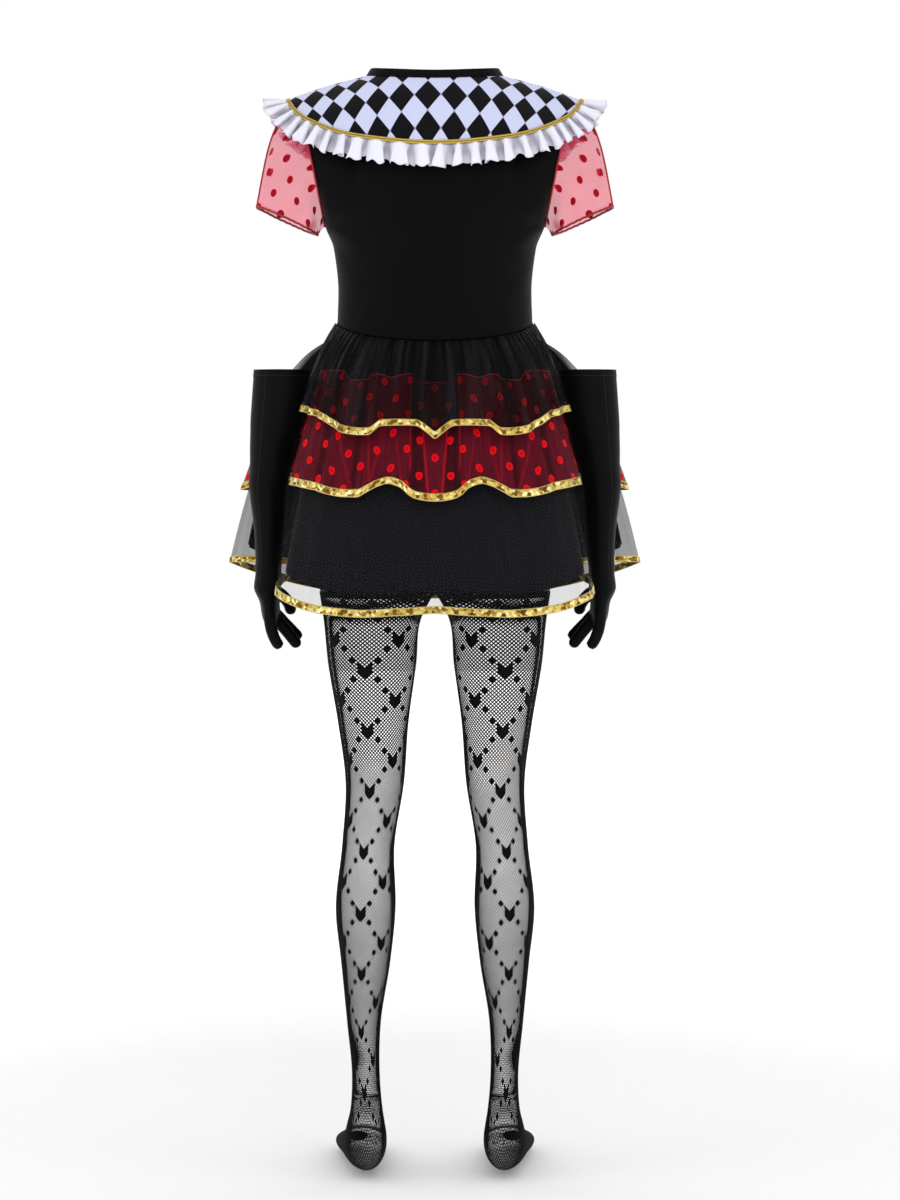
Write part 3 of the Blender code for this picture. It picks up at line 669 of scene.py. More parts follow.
# The skirt
def waist(phi):
    a = np.radians(signed(phi))
    back = np.cos(a) > 0
    drop = np.where(back, WAIST_BACK_DROP, WAIST_FRONT_DROP) * np.abs(np.cos(a))
    return np.stack([WAIST_HALF_WIDTH * np.sin(a), -WAIST_HALF_DEPTH * np.cos(a), WAIST_SIDE_Z - drop], -1)


def skirt_point(phi, v):
    """The overskirt's surface; v runs from the waist (0) to its hem (1)."""
    p = signed(phi)
    top = waist(p)
    x = smooth(HEM, "phi", "x", np.abs(p)) * np.sign(p)
    y = mirrored(HEM, "y", p)
    z = mirrored(HEM, "z", p)
    spread = mirrored(HEM, "spread", p)
    v = np.asarray(v, dtype=float)
    f = np.maximum(v, 0.0) ** spread
    return np.stack(
        [top[..., 0] + (x - top[..., 0]) * f, top[..., 1] + (y - top[..., 1]) * f,
         top[..., 2] - 0.0006 + (z - top[..., 2] + 0.0006) * v], -1
    )


def skirt_normal(phi, v):
    step = 0.6
    across = skirt_point(phi + step, v) - skirt_point(phi - step, v)
    w = np.maximum(v, 0.03)
    down = skirt_point(phi, w + 0.02) - skirt_point(phi, w - 0.02)
    n = unit(np.cross(across, down))
    p = skirt_point(phi, v)
    return np.where((np.sum(n[..., :2] * p[..., :2], -1) < 0)[..., None], -n, n)


def level(phi, z):
    """v at which the overskirt has this height."""
    top = waist(phi)[..., 2] - 0.0006
    return (top - z) / (top - mirrored(HEM, "z", phi))


def wander(phi, seed, size):
    """A slow, repeatable drift round the body that keeps folds uneven."""
    a = np.radians(phi)
    out = 0.0 * a
    for k in range(3, 9):
        out += math.sin(seed * 7.1 + k * 2.3) * np.sin(k * a + seed * 1.7 * k) / k**0.5
    return size * out


def tulle_point(phi, r):
    """The overskirt, with soft folds that deepen to its hem."""
    p = signed(phi)
    lean = wander(phi, 2.0, 3.0)
    fold = np.cos(np.radians(phi + lean) * 22.0) * (0.0012 + 0.0013 * bell(np.abs(p), 130, 30))
    fold += np.cos(np.radians(phi - lean) * 47.0) * 0.0006
    return skirt_point(p, r) + skirt_normal(p, r) * (fold * r * step_up(r, 0.0, 0.5))[..., None]


def underskirt_point(phi, r):
    p = signed(phi)
    v = r * UNDERSKIRT_END
    inset = 0.0026 + mirrored(TIERS, "inset", p) * v
    fold = np.cos(np.radians(phi + wander(phi, 5.0, 4.0)) * 15.0) * 0.0011 * r
    return skirt_point(p, v) - skirt_normal(p, v) * (inset - fold)[..., None]


def organza_point(phi, r, depth):
    """The gathered top tier: many fine gathers at the waist that run into fewer, wider folds."""
    p = signed(phi)
    v = level(p, mirrored(TIERS, "hem1", p)) * r
    stand = mirrored(TIERS, "stand1", p)
    room = np.clip(stand / 0.012, 0.35, 1.0)
    swell = 0.0022 + (stand - 0.0022) * np.sin(np.minimum(1.0, r) * math.pi / 2) ** 0.8
    a = np.radians(phi)
    fine = np.cos(86 * a + wander(phi, 1.0, 1.1)) * (1 - step_up(r, 0.05, 0.62)) * 0.75
    wide = np.cos(32 * a + math.pi + wander(phi, 3.0, 0.9)) * (0.45 + 0.55 * r)
    third = np.cos(53 * a + wander(phi, 4.0, 1.4)) * 0.35 * step_up(r, 0.15, 0.7)
    pleat = (0.95 + fine + wide + third) * room * depth * (0.25 + 0.75 * np.minimum(1.0, r * 4))
    return skirt_point(p, v) + skirt_normal(p, v) * LEVEL * (swell + pleat)[..., None]


# The spotted tier's box pleats: each panel's middle and half width in degrees, and its rise
PANELS = (
    (0.0, 4.6, -0.0030),
    (22.0, 11.5, 0.0036),
    (43.0, 7.6, 0.0012),
    (66.0, 12.0, 0.0026),
    (114.0, 8.0, 0.0010),
    (140.0, 9.0, 0.0024),
    (161.0, 9.5, 0.0030),
    (180.0, 4.6, -0.0024),
)


def panel_rise(phi):
    """How far each box pleat stands up at this angle."""
    p = np.abs(signed(phi))
    rise = 0.0 * p
    for middle, half, high in PANELS:
        rise += high * step_up(half + 0.9 - np.abs(p - middle), 0.0, 1.8)
    return rise


def gaps(phi):
    """1 in the deep valleys between the box pleats, 0 on their faces: where the tiers get painted shade."""
    p = np.abs(signed(phi))
    inside = 0.0 * p
    for middle, half, _ in PANELS:
        inside = np.maximum(inside, step_up(half + 0.6 - np.abs(p - middle), 0.0, 1.6))
    return 1 - inside


# Painted highlight: a brighter line down the spotted tier where a fold or an edge shows: from and to
# (angle, share), then its width in degrees and its strength
FOLD_HIGHLIGHTS = (
    (5.6, 0.36, 2.6, 1.0, 0.42, 1.0),
    (11.4, 0.05, 10.4, 0.78, 0.36, 0.65),
    (32.6, 0.05, 27.5, 0.90, 0.36, 0.45),
    (45.0, 0.50, 33.5, 0.98, 0.40, 0.45),
    (78.0, 0.10, 78.0, 1.0, 0.80, 0.80),
    (24.0, 0.62, 27.5, 0.98, 0.50, 0.30),
    (17.0, 0.60, 13.5, 0.98, 0.50, 0.30),
    (148.0, 0.10, 150.0, 1.0, 0.50, 0.60),
    (170.0, 0.10, 171.0, 1.0, 0.50, 0.60),
)


# How strong the painted highlight of the fold lines is at each place.
def fold_highlights(phi, r):
    p = np.abs(signed(phi))
    found = 0.0 * p
    for p0, r0, p1, r1, width, strength in FOLD_HIGHLIGHTS:
        share = np.clip((r - r0) / (r1 - r0), 0.0, 1.0)
        inside = step_up(r, r0 - 0.03, r0 + 0.03) * (1 - step_up(r, r1 - 0.02, r1 + 0.04))
        found = np.maximum(found, bell(p, p0 + (p1 - p0) * share, width) * inside * strength)
    return found


def spotted_point(phi, r):
    p = signed(phi)
    start = level(p, mirrored(TOP_EDGE, "z", p))
    v = start + (level(p, mirrored(TIERS, "hem2", p)) - start) * r
    stand = mirrored(TIERS, "stand2", p)
    out = 0.0028 + (stand - 0.0028) * np.maximum(0.0, r) ** 0.9
    rise = panel_rise(phi)
    wave = np.cos(np.radians(phi + wander(phi, 6.0, 3.0)) * 29.0) * 0.0009 * r
    room = np.clip(stand / 0.010, 0.3, 1.0)
    out = np.maximum(out, 0.0028) + (rise * (0.45 + 0.55 * r) + wave) * room
    return skirt_point(p, v) + skirt_normal(p, v) * LEVEL * np.maximum(out, 0.0014)[..., None]


def all_round(point, columns, rows, *more):
    """A closed ring of cloth, from the centre front round, for rows of r."""
    phi = 180.0 + np.arange(columns) * 360.0 / columns
    p, r = np.meshgrid(phi, np.asarray(rows))
    return point(p, r, *more), p, r


def strip_uv(grid, wide, columns):
    """Cut coordinates of a gathered ring: even across the cloth's width, true down its length."""
    u = np.linspace(0.0, wide, columns + 1)[None, :] + 0 * grid[:, :1, 0]
    down = lengths(grid, 0)
    down = np.concatenate([down, down[:, :1]], axis=1)
    return np.stack([u, -down], -1)


# Node trees
class Wire:
    """A number socket that takes part in arithmetic; each operation adds its Math node."""

    def __init__(self, graph, socket):
        self.graph = graph
        self.socket = socket

    def math(self, operation, *others, clamp=False, first=True):
        values = (self, *others) if first else (*others, self)
        item = self.graph.node(
            "ShaderNodeMath", {"operation": operation, "use_clamp": clamp}, dict(enumerate(values))
        )
        return Wire(self.graph, item.outputs[0])

    def __add__(self, other):
        return self.math("ADD", other)

    __radd__ = __add__

    def __sub__(self, other):
        return self.math("SUBTRACT", other)

    def __rsub__(self, other):
        return self.math("SUBTRACT", other, first=False)

    def __mul__(self, other):
        return self.math("MULTIPLY", other)

    __rmul__ = __mul__

    def __truediv__(self, other):
        return self.math("DIVIDE", other)

    def clamp(self):
        return self.math("ADD", 0.0, clamp=True)

    def sine(self):
        return self.math("SINE")

    def floor(self):
        return self.math("FLOOR")

    def size(self):
        return self.math("ABSOLUTE")

    def root(self):
        return self.math("SQRT")


class Graph:
    """A node tree in which one method adds any node: its type, its settings, then its sockets."""

    def __init__(self, tree):
        self.tree = tree

    def node(self, kind, settings=None, sockets=None):
        item = self.tree.nodes.new(kind)
        for name, value in (settings or {}).items():
            if name == "stops":
                while len(item.color_ramp.elements) < len(value):
                    item.color_ramp.elements.new(1.0)
                for element, (place, colour) in zip(item.color_ramp.elements, value):
                    element.position = place
                    element.color = (*colour, 1.0)
            else:
                setattr(item, name, value)
        for key, value in (sockets or {}).items():
            source = value.socket if isinstance(value, Wire) else value
            if isinstance(source, bpy.types.NodeSocket):
                self.tree.links.new(source, item.inputs[key])
            else:
                item.inputs[key].default_value = source
        return item


class Finish(Graph):
    """One material, written from its cloth's cut, place and marks."""

    def __init__(self, name):
        self.material = bpy.data.materials.new(name)
        self.material.use_nodes = True
        super().__init__(self.material.node_tree)
        self.tree.nodes.clear()

    def cut(self):
        """Metres across and along the cut cloth."""
        parts = self.node("ShaderNodeSeparateXYZ", sockets={0: self.cut_vector()})
        return Wire(self, parts.outputs[0]), Wire(self, parts.outputs[1])

    def cut_vector(self):
        return self.node("ShaderNodeUVMap", {"uv_map": "cut"}).outputs[0]

    def place(self):
        return self.node("ShaderNodeTexCoord").outputs["Object"]

    def mark(self, name):
        return Wire(self, self.node("ShaderNodeAttribute", {"attribute_name": name}).outputs["Fac"])

    def stretched(self, vector, scale):
        item = self.node("ShaderNodeMapping", sockets={"Vector": vector, "Scale": scale})
        return item.outputs[0]

    def noise(self, vector, scale, detail=2.0, rough=0.5):
        item = self.node(
            "ShaderNodeTexNoise",
            sockets={"Vector": vector, "Scale": scale, "Detail": detail, "Roughness": rough},
        )
        return Wire(self, item.outputs[0])

    def mix(self, factor, a, b):
        """A colour between two colours."""
        values = {0: factor, 6: self.colour(a), 7: self.colour(b)}
        item = self.node("ShaderNodeMix", {"data_type": "RGBA", "clamp_factor": True}, values)
        return item.outputs[2]

    def colour(self, value):
        if isinstance(value, bpy.types.NodeSocket):
            return value
        return (*tuple(value)[:3], 1.0)

    def bump(self, height, strength, distance):
        sockets = {"Strength": strength, "Distance": distance, "Height": height}
        return self.node("ShaderNodeBump", sockets=sockets).outputs[0]

    def close(self, **values):
        """The surface shader; names with underscores are its sockets' names."""
        sockets = {name.replace("_", " "): value for name, value in values.items()}
        shader = self.node("ShaderNodeBsdfPrincipled", sockets=sockets)
        self.node("ShaderNodeOutputMaterial", sockets={0: shader.outputs[0]})
        return self.material

    def weave(self, pitch_across, pitch_down):
        u, v = self.cut()
        return (u * (math.tau / pitch_across)).sine() * (v * (math.tau / pitch_down)).sine()

    def dots(self, pitch, radius, turn, at):
        """Round dots on a turned square lattice, one of them at the given place.

        The value is 1 in a dot's middle and 0 at its edge.
        """
        u, v = self.cut()
        u = u - at[0]
        v = v - at[1]
        c = math.cos(math.radians(turn)) / pitch
        s = math.sin(math.radians(turn)) / pitch
        a = u * c + v * s + 0.5
        b = v * c - u * s + 0.5
        da = (a - a.floor() - 0.5) * pitch
        db = (b - b.floor() - 0.5) * pitch
        far = (da * da + db * db).root()
        return 1.0 - far / radius


def picked(name):
    """One colour or size as the sidebar holds it."""
    scene = bpy.context.scene
    group = scene.costume_colours if hasattr(scene.costume_colours, name) else scene.costume_sizes
    value = getattr(group, name)
    return tuple(value) if hasattr(value, "__len__") else float(value)


# Finishes
def black_stretch_satin():
    f = Finish("black stretch satin")
    broad = f.noise(f.place(), 7.0, 3.0)
    base = f.mix(broad, picked("black"), [c * 2.1 for c in picked("black")])
    height = f.weave(0.0009, 0.0012) * 0.4 + broad
    return f.close(
        Base_Color=base, Roughness=(0.44 + broad * 0.12), Sheen_Weight=0.012, Sheen_Roughness=0.45,
        Specular_IOR_Level=0.035, Normal=f.bump(height, 0.20, 0.0002),
    )


def red_satin():
    f = Finish("red satin")
    broad = f.noise(f.place(), 9.0, 3.0)
    base = f.mix(broad, picked("red"), [c * 0.62 for c in picked("red")])
    height = f.weave(0.0007, 0.0011) * 0.3 + f.noise(f.cut_vector(), 1100.0, 2.0)
    return f.close(
        Base_Color=base, Roughness=0.40 + broad * 0.10, Sheen_Weight=0.02, Specular_IOR_Level=0.12,
        Normal=f.bump(height, 0.22, 0.0002),
    )


def check_satin():
    """Lilac and black diamonds laid on the collar's flat cut."""
    f = Finish("harlequin satin")
    u, v = f.cut()
    across = (u - CHECK_MIDDLE[0]) / picked("diamond_width")
    along = (v - CHECK_MIDDLE[1]) / picked("diamond_height")
    a = ((across + along + 0.5) * math.pi).sine()
    b = ((across - along + 0.5) * math.pi).sine()
    pale = (a * b * 26.0 + 0.5).clamp()
    slub = f.noise(f.stretched(f.cut_vector(), (260.0, 900.0, 1.0)), 1.0, 3.0)
    lilac = f.mix(slub, [c * 0.88 for c in picked("lilac")], picked("lilac"))
    ink = f.mix(slub, (0.0018, 0.0015, 0.0021), (0.0050, 0.0042, 0.0056))
    height = f.weave(0.0006, 0.0010) * 0.3 + slub
    return f.close(
        Base_Color=f.mix(pale, ink, lilac), Roughness=0.50 - pale * 0.08, Sheen_Weight=0.01,
        Specular_IOR_Level=0.05, Normal=f.bump(height, 0.20, 0.0002),
    )


def white_satin():
    f = Finish("white satin")
    deep = f.mark("valley")
    # Painted shade: the white turns dark lavender grey down the flutes' valleys.
    base = f.mix(deep, picked("white"), (0.30, 0.28, 0.34))
    slub = f.noise(f.stretched(f.cut_vector(), (300.0, 900.0, 1.0)), 1.0, 2.0)
    return f.close(
        Base_Color=base, Roughness=0.42 + slub * 0.08, Sheen_Weight=0.05, Specular_IOR_Level=0.3,
        Normal=f.bump(slub, 0.20, 0.0002),
    )


def gold_foil(width):
    """A crinkled metallic ribbon with a bright woven edge on each side."""
    f = Finish("gold foil ribbon")
    u, v = f.cut()
    warp = f.noise(f.cut_vector(), 160.0, 3.0)
    cells = f.node(
        "ShaderNodeTexVoronoi", {"feature": "F1"},
        {"Vector": f.stretched(f.cut_vector(), (150.0, 210.0, 1.0)), "Scale": 1.0, "Randomness": 1.0},
    )
    facet = Wire(f, f.node("ShaderNodeSeparateColor", sockets={0: cells.outputs["Color"]}).outputs[0])
    glint = (facet * 0.95 + warp * 0.7 - 0.33).clamp()
    stops = ((0.0, (0.085, 0.036, 0.004)), (0.28, (0.20, 0.10, 0.012)), (0.46, picked("gold")),
             (0.72, (0.62, 0.47, 0.12)), (1.0, (0.90, 0.82, 0.42)))
    ramp = f.node("ShaderNodeValToRGB", {"stops": stops}, {0: glint}).outputs[0]
    edge = ((v / width + 0.5).size() - 0.36) * 14.0
    base = f.mix(edge.clamp(), ramp, (0.70, 0.55, 0.17))
    rib = (u * (math.tau / 0.0011)).sine()
    crinkle = facet * 0.7 + warp * 0.6 + Wire(f, cells.outputs["Distance"]) * 0.4
    height = crinkle + rib * edge.clamp() * 0.2
    return f.close(
        Base_Color=base, Metallic=0.88, Roughness=0.24 + warp * 0.16, Specular_IOR_Level=0.5,
        Normal=f.bump(height, 0.75, 0.0012),
    )


def gold_thread():
    f = Finish("gold braid thread")
    grain = f.noise(f.place(), 900.0, 2.0)
    base = f.mix(grain, (0.24, 0.13, 0.015), (0.72, 0.54, 0.14))
    return f.close(Base_Color=base, Metallic=0.85, Roughness=0.30, Normal=f.bump(grain, 0.4, 0.0003))


def spotted_net():
    """Sheer red net with dark flocked dots, seen pink over what is pale behind it."""
    f = Finish("red spotted net")
    dot = (f.dots(picked("dot_pitch"), picked("dot_size") / 2, 30.5, (0.041, -0.095)) * 7.0).clamp()
    fleck = f.noise(f.cut_vector(), 1500.0, 2.0)
    cloud = f.noise(f.cut_vector(), 26.0, 2.0)
    body = f.mix(cloud, picked("pink"), [c * 0.85 for c in picked("pink")])
    flock = f.mix(fleck, (0.22, 0.001, 0.004), (0.33, 0.002, 0.007))
    mesh = f.weave(0.0013, 0.0013).size()
    thin = 0.40 + cloud * 0.10 - mesh * 0.05 + f.mark("layer") * 0.40
    return f.close(
        Base_Color=f.mix(dot, body, flock), Alpha=(thin + dot * 0.9).clamp(), Roughness=0.72,
        Sheen_Weight=0.02, Specular_IOR_Level=0.05, Normal=f.bump(dot + fleck * 0.3, 0.5, 0.0004),
    )


def black_organza():
    """Crisp sheer black with fine upright streaks where its gathers catch the light."""
    f = Finish("black organza")
    streak = f.noise(f.stretched(f.cut_vector(), (330.0, 12.0, 1.0)), 1.0, 4.0, 0.65)
    bands = f.noise(f.stretched(f.cut_vector(), (52.0, 4.0, 1.0)), 1.0, 2.0)
    crest = f.mark("crest")
    glow = ((bands * 3.2 - 1.35).clamp() * (0.25 + crest * 0.9) + (streak - 0.5).clamp() * 0.5).clamp()
    base = f.mix(glow, (0.0014, 0.0014, 0.0017), (0.019, 0.019, 0.022))
    # More opaque, so darker, where the cloth is bunched at the waist, and as painted shade in the valleys
    # between the panels and at the centre back; a little clearer on the crests.
    alpha = 0.60 + f.mark("bunched") * 0.34 - crest * 0.08
    return f.close(
        Base_Color=base, Alpha=alpha.clamp(), Roughness=0.46, Sheen_Weight=0.01, Sheen_Roughness=0.3,
        Specular_IOR_Level=0.04, Normal=f.bump(bands, 0.30, 0.0010),
    )


def spotted_organza():
    """Wine organza over black: bright flocked dots, a painted highlight along folds and edges, painted
    shade in the valleys between the panels.
    """
    f = Finish("red spotted organza")
    reach = f.dots(picked("dot_pitch"), picked("dot_size") * 0.52, 45.0, (0.072, -0.080))
    dot = (reach * 6.0).clamp()
    middle = (reach * 3.0 - 1.3).clamp()
    streak = f.noise(f.stretched(f.cut_vector(), (240.0, 9.0, 1.0)), 1.0, 3.0)
    wine = picked("wine")
    body = f.mix((streak * 2.2 - 0.6).clamp(), [c * 0.42 for c in wine], [c * 1.35 for c in wine])
    # Painted shade: the wine goes almost black in the valleys between the box pleats.
    shaded = f.mix(f.mark("gap") * 0.60, body, (0.006, 0.001, 0.002))
    # Painted highlight: a brighter red along the listed fold and edge lines.
    fold_highlighted = f.mix(f.mark("fold"), shaded, (0.52, 0.004, 0.016))
    flock = f.mix(middle, picked("spot"), [c * 0.62 for c in picked("spot")])
    return f.close(
        Base_Color=f.mix(dot, fold_highlighted, flock), Alpha=(0.66 + dot * 0.34).clamp(), Roughness=0.50,
        Sheen_Weight=0.01, Specular_IOR_Level=0.05, Normal=f.bump(dot * 0.6 + streak, 0.35, 0.0005),
    )


def black_tulle():
    f = Finish("black tulle")
    u, v = f.cut()
    mesh = ((u + v) * (math.tau / 0.0021)).sine() * ((u - v) * (math.tau / 0.0021)).sine()
    streak = f.noise(f.stretched(f.cut_vector(), (90.0, 4.0, 1.0)), 1.0, 3.0)
    cover = f.mark("cover") * (0.72 + streak * 0.56) + mesh.size() * 0.05
    base = f.mix(streak, (0.004, 0.004, 0.005), (0.014, 0.014, 0.016))
    return f.close(
        Base_Color=base, Alpha=cover.clamp(), Roughness=0.6, Sheen_Weight=0.01, Specular_IOR_Level=0.06,
        Normal=f.bump(mesh, 0.2, 0.0003),
    )


def lining_satin():
    f = Finish("black lining satin")
    streak = f.noise(f.stretched(f.cut_vector(), (34.0, 3.0, 1.0)), 1.0, 3.0)
    base = f.mix(streak, (0.0055, 0.0055, 0.0072), (0.0095, 0.0095, 0.0120))
    height = f.weave(0.0007, 0.0009) * 0.2 + streak
    return f.close(
        Base_Color=base, Roughness=0.40 + streak * 0.14, Sheen_Weight=0.01, Specular_IOR_Level=0.05,
        Normal=f.bump(height, 0.2, 0.0002),
    )


def glove_stretch():
    f = Finish("black stretch knit")
    broad = f.noise(f.place(), 24.0, 3.0)
    base = f.mix(broad, (0.0014, 0.0015, 0.0019), (0.0036, 0.0038, 0.0044))
    knit = f.noise(f.stretched(f.place(), (1500.0, 1500.0, 900.0)), 1.0, 2.0)
    return f.close(
        Base_Color=base, Roughness=0.46 + broad * 0.10, Sheen_Weight=0.03, Sheen_Roughness=0.40,
        Specular_IOR_Level=0.05, Normal=f.bump(knit, 0.25, 0.0002),
    )


def net_thread():
    f = Finish("black net thread")
    grain = f.noise(f.place(), 1400.0, 2.0)
    base = f.mix(grain, (0.0014, 0.0014, 0.0018), (0.0050, 0.0050, 0.0058))
    return f.close(
        Base_Color=base, Roughness=0.58, Specular_IOR_Level=0.05, Normal=f.bump(grain, 0.35, 0.0002)
    )


def brief_knit():
    f = Finish("black plain knit")
    rib = f.weave(0.0012, 0.0016)
    base = f.mix(rib.size(), (0.0035, 0.0035, 0.0040), (0.0105, 0.0105, 0.0120))
    return f.close(
        Base_Color=base, Alpha=0.86 + rib * 0.08, Roughness=0.55, Specular_IOR_Level=0.06,
        Normal=f.bump(rib, 0.5, 0.0003),
    )


def sewing_thread(name, dark, light):
    f = Finish(name)
    grain = f.noise(f.place(), 1600.0, 2.0)
    return f.close(Base_Color=f.mix(grain, dark, light), Roughness=0.55, Normal=f.bump(grain, 0.4, 0.0002))


# Repeats and cords in geometry nodes
def new_tree(name, inputs):
    tree = bpy.data.node_groups.new(name, "GeometryNodeTree")
    tree.interface.new_socket("Geometry", in_out="INPUT", socket_type="NodeSocketGeometry")
    for label, kind, value in inputs:
        socket = tree.interface.new_socket(label, in_out="INPUT", socket_type=kind)
        if value is not None:
            socket.default_value = value
    tree.interface.new_socket("Geometry", in_out="OUTPUT", socket_type="NodeSocketGeometry")
    return tree, Graph(tree)


def close_tree(graph, start, geometry):
    """Every tree ends in Realize Instances and Set Material."""
    real = graph.node("GeometryNodeRealizeInstances", sockets={0: geometry})
    painted = graph.node(
        "GeometryNodeSetMaterial",
        sockets={"Geometry": real.outputs[0], "Material": start.outputs["Material"]},
    )
    graph.node("NodeGroupOutput", sockets={0: painted.outputs[0]})


def cord_tree():
    """A round cord along each edge path."""
    tree, g = new_tree(
        "cord on a path",
        [("Radius", "NodeSocketFloat", 0.0004), ("Sides", "NodeSocketInt", 6),
         ("Material", "NodeSocketMaterial", None)],
    )
    start = g.node("NodeGroupInput")
    curve = g.node("GeometryNodeMeshToCurve", sockets={0: start.outputs["Geometry"]})
    ring = g.node(
        "GeometryNodeCurvePrimitiveCircle",
        sockets={"Resolution": start.outputs["Sides"], "Radius": start.outputs["Radius"]},
    )
    body = g.node(
        "GeometryNodeCurveToMesh",
        sockets={"Curve": curve.outputs[0], "Profile Curve": ring.outputs[0], "Fill Caps": True},
    )
    close_tree(g, start, body.outputs[0])
    return tree


def stitch_tree():
    """A small rounded stitch or link on each point, turned as the point's mark says."""
    tree, g = new_tree(
        "stitches on points",
        [("Length", "NodeSocketFloat", 0.002), ("Width", "NodeSocketFloat", 0.0006),
         ("Height", "NodeSocketFloat", 0.0005), ("Material", "NodeSocketMaterial", None)],
    )
    start = g.node("NodeGroupInput")
    bead = g.node("GeometryNodeMeshUVSphere", sockets={"Segments": 6, "Rings": 4, "Radius": 0.5})
    turn = g.node("GeometryNodeInputNamedAttribute", {"data_type": "FLOAT_VECTOR"}, {"Name": "turn"})
    size = g.node(
        "ShaderNodeCombineXYZ",
        sockets={0: start.outputs["Width"], 1: start.outputs["Height"], 2: start.outputs["Length"]},
    )
    rotation = g.node("FunctionNodeEulerToRotation", sockets={0: turn.outputs[0]})
    placed = g.node(
        "GeometryNodeInstanceOnPoints",
        sockets={"Points": start.outputs["Geometry"], "Instance": bead.outputs["Mesh"],
                 "Rotation": rotation.outputs[0], "Scale": size.outputs[0]},
    )
    close_tree(g, start, placed.outputs[0])
    return tree


def net_tree():
    """Flat threads along the marked edges, beside the closed meshes that are already faces."""
    tree, g = new_tree(
        "knitted net", [("Thread", "NodeSocketFloat", 0.0012), ("Material", "NodeSocketMaterial", None)]
    )
    start = g.node("NodeGroupInput")
    thread = g.node("GeometryNodeInputNamedAttribute", {"data_type": "BOOLEAN"}, {"Name": "thread"})
    facing = g.node("GeometryNodeInputNamedAttribute", {"data_type": "FLOAT_VECTOR"}, {"Name": "facing"})
    curve = g.node(
        "GeometryNodeMeshToCurve",
        sockets={"Mesh": start.outputs["Geometry"], "Selection": thread.outputs[0]},
    )
    normal = g.node(
        "GeometryNodeSetCurveNormal",
        {"mode": "FREE"},
        {"Curve": curve.outputs[0], "Normal": facing.outputs[0]},
    )
    half = Wire(g, start.outputs["Thread"]) * 0.5
    left = g.node("ShaderNodeCombineXYZ", sockets={1: half * -1.0})
    right = g.node("ShaderNodeCombineXYZ", sockets={1: half})
    profile = g.node(
        "GeometryNodeCurvePrimitiveLine", sockets={"Start": left.outputs[0], "End": right.outputs[0]}
    )
    wide = g.node("GeometryNodeInputNamedAttribute", {"data_type": "FLOAT"}, {"Name": "wide"})
    body = g.node(
        "GeometryNodeCurveToMesh",
        sockets={"Curve": normal.outputs[0], "Profile Curve": profile.outputs[0], "Scale": wide.outputs[0]},
    )
    closed = g.node(
        "GeometryNodeDeleteGeometry", {"domain": "EDGE"},
        {"Geometry": start.outputs["Geometry"], "Selection": thread.outputs[0]},
    )
    both = g.node("GeometryNodeJoinGeometry")
    g.tree.links.new(body.outputs[0], both.inputs[0])
    g.tree.links.new(closed.outputs[0], both.inputs[0])
    close_tree(g, start, both.outputs[0])
    return tree


def grow(name, mesh, tree, finish, **values):
    """Runs one tree on a mesh and keeps its result as a plain mesh."""
    obj = link(name, mesh)
    modifier = obj.modifiers.new("grow", "NODES")
    modifier.node_group = tree
    values["Material"] = finish
    for item in tree.interface.items_tree:
        if item.item_type == "SOCKET" and item.in_out == "INPUT" and item.name in values:
            modifier[item.identifier] = values[item.name]
    depsgraph = bpy.context.evaluated_depsgraph_get()
    made = bpy.data.meshes.new_from_object(obj.evaluated_get(depsgraph))
    obj.modifiers.clear()
    obj.data = made
    if not made.polygons:
        raise RuntimeError(name + " came out empty")
    if not made.materials:
        made.materials.append(finish)
    made.polygons.foreach_set("use_smooth", [True] * len(made.polygons))
    return obj


def cords(name, paths, radius, finish, sides=6):
    """Cords along one or more paths; a path is its points and whether it closes."""
    points = []
    edges = []
    for path, closed in paths:
        first = len(points)
        points += (path - SOLES_TO_NECK).tolist()
        edges += [(first + i, first + i + 1) for i in range(len(path) - 1)]
        if closed:
            edges.append((len(points) - 1, first))
    mesh = bpy.data.meshes.new(name)
    mesh.from_pydata(points, edges, [])
    return grow(name, mesh, cord_tree(), finish, Radius=radius, Sides=sides)


def stitches(name, places, finish, length, width, height):
    """Stitches at points, each with its own direction and the cloth's normal there."""
    points = np.concatenate([p[0] for p in places]) - SOLES_TO_NECK
    along = unit(np.concatenate([p[1] for p in places]))
    up = np.concatenate([p[2] for p in places])
    mesh = bpy.data.meshes.new(name)
    mesh.from_pydata(points.tolist(), [], [])
    turns = []
    for way, normal in zip(along, up):
        side = unit(np.cross(normal, way))
        lift = np.cross(way, side)
        turns.append(Matrix(np.array([side, lift, way]).T.tolist()).to_euler())
    item = mesh.attributes.new("turn", "FLOAT_VECTOR", "POINT")
    item.data.foreach_set("vector", np.array(turns, dtype=np.float32).ravel())
    return grow(name, mesh, stitch_tree(), finish, Length=length, Width=width, Height=height)


def spaced(path, spacing):
    """Points, directions and shares at an even spacing along a path."""
    run = lengths(path[:, None, :], 0)[:, 0]
    count = max(2, int(run[-1] / spacing))
    at = (np.arange(count) + 0.5) * run[-1] / count
    points = np.stack([np.interp(at, run, path[:, k]) for k in range(3)], -1)
    ahead = np.stack([np.interp(at + spacing * 0.3, run, path[:, k]) for k in range(3)], -1)
    behind = np.stack([np.interp(at - spacing * 0.3, run, path[:, k]) for k in range(3)], -1)
    return points, unit(ahead - behind), at / run[-1]


def along_grid(grid, normals, row, spacing, lift=0.0002):
    """Stitch places that follow one row of a grid."""
    path = grid[row]
    points, way, _ = spaced(path, spacing)
    run = lengths(path[:, None, :], 0)[:, 0]
    target = lengths(points[:, None, :], 0)[:, 0] + spacing / 2
    n = unit(np.stack([np.interp(target, run, normals[row][:, k]) for k in range(3)], -1))
    return points + n * lift, way, n


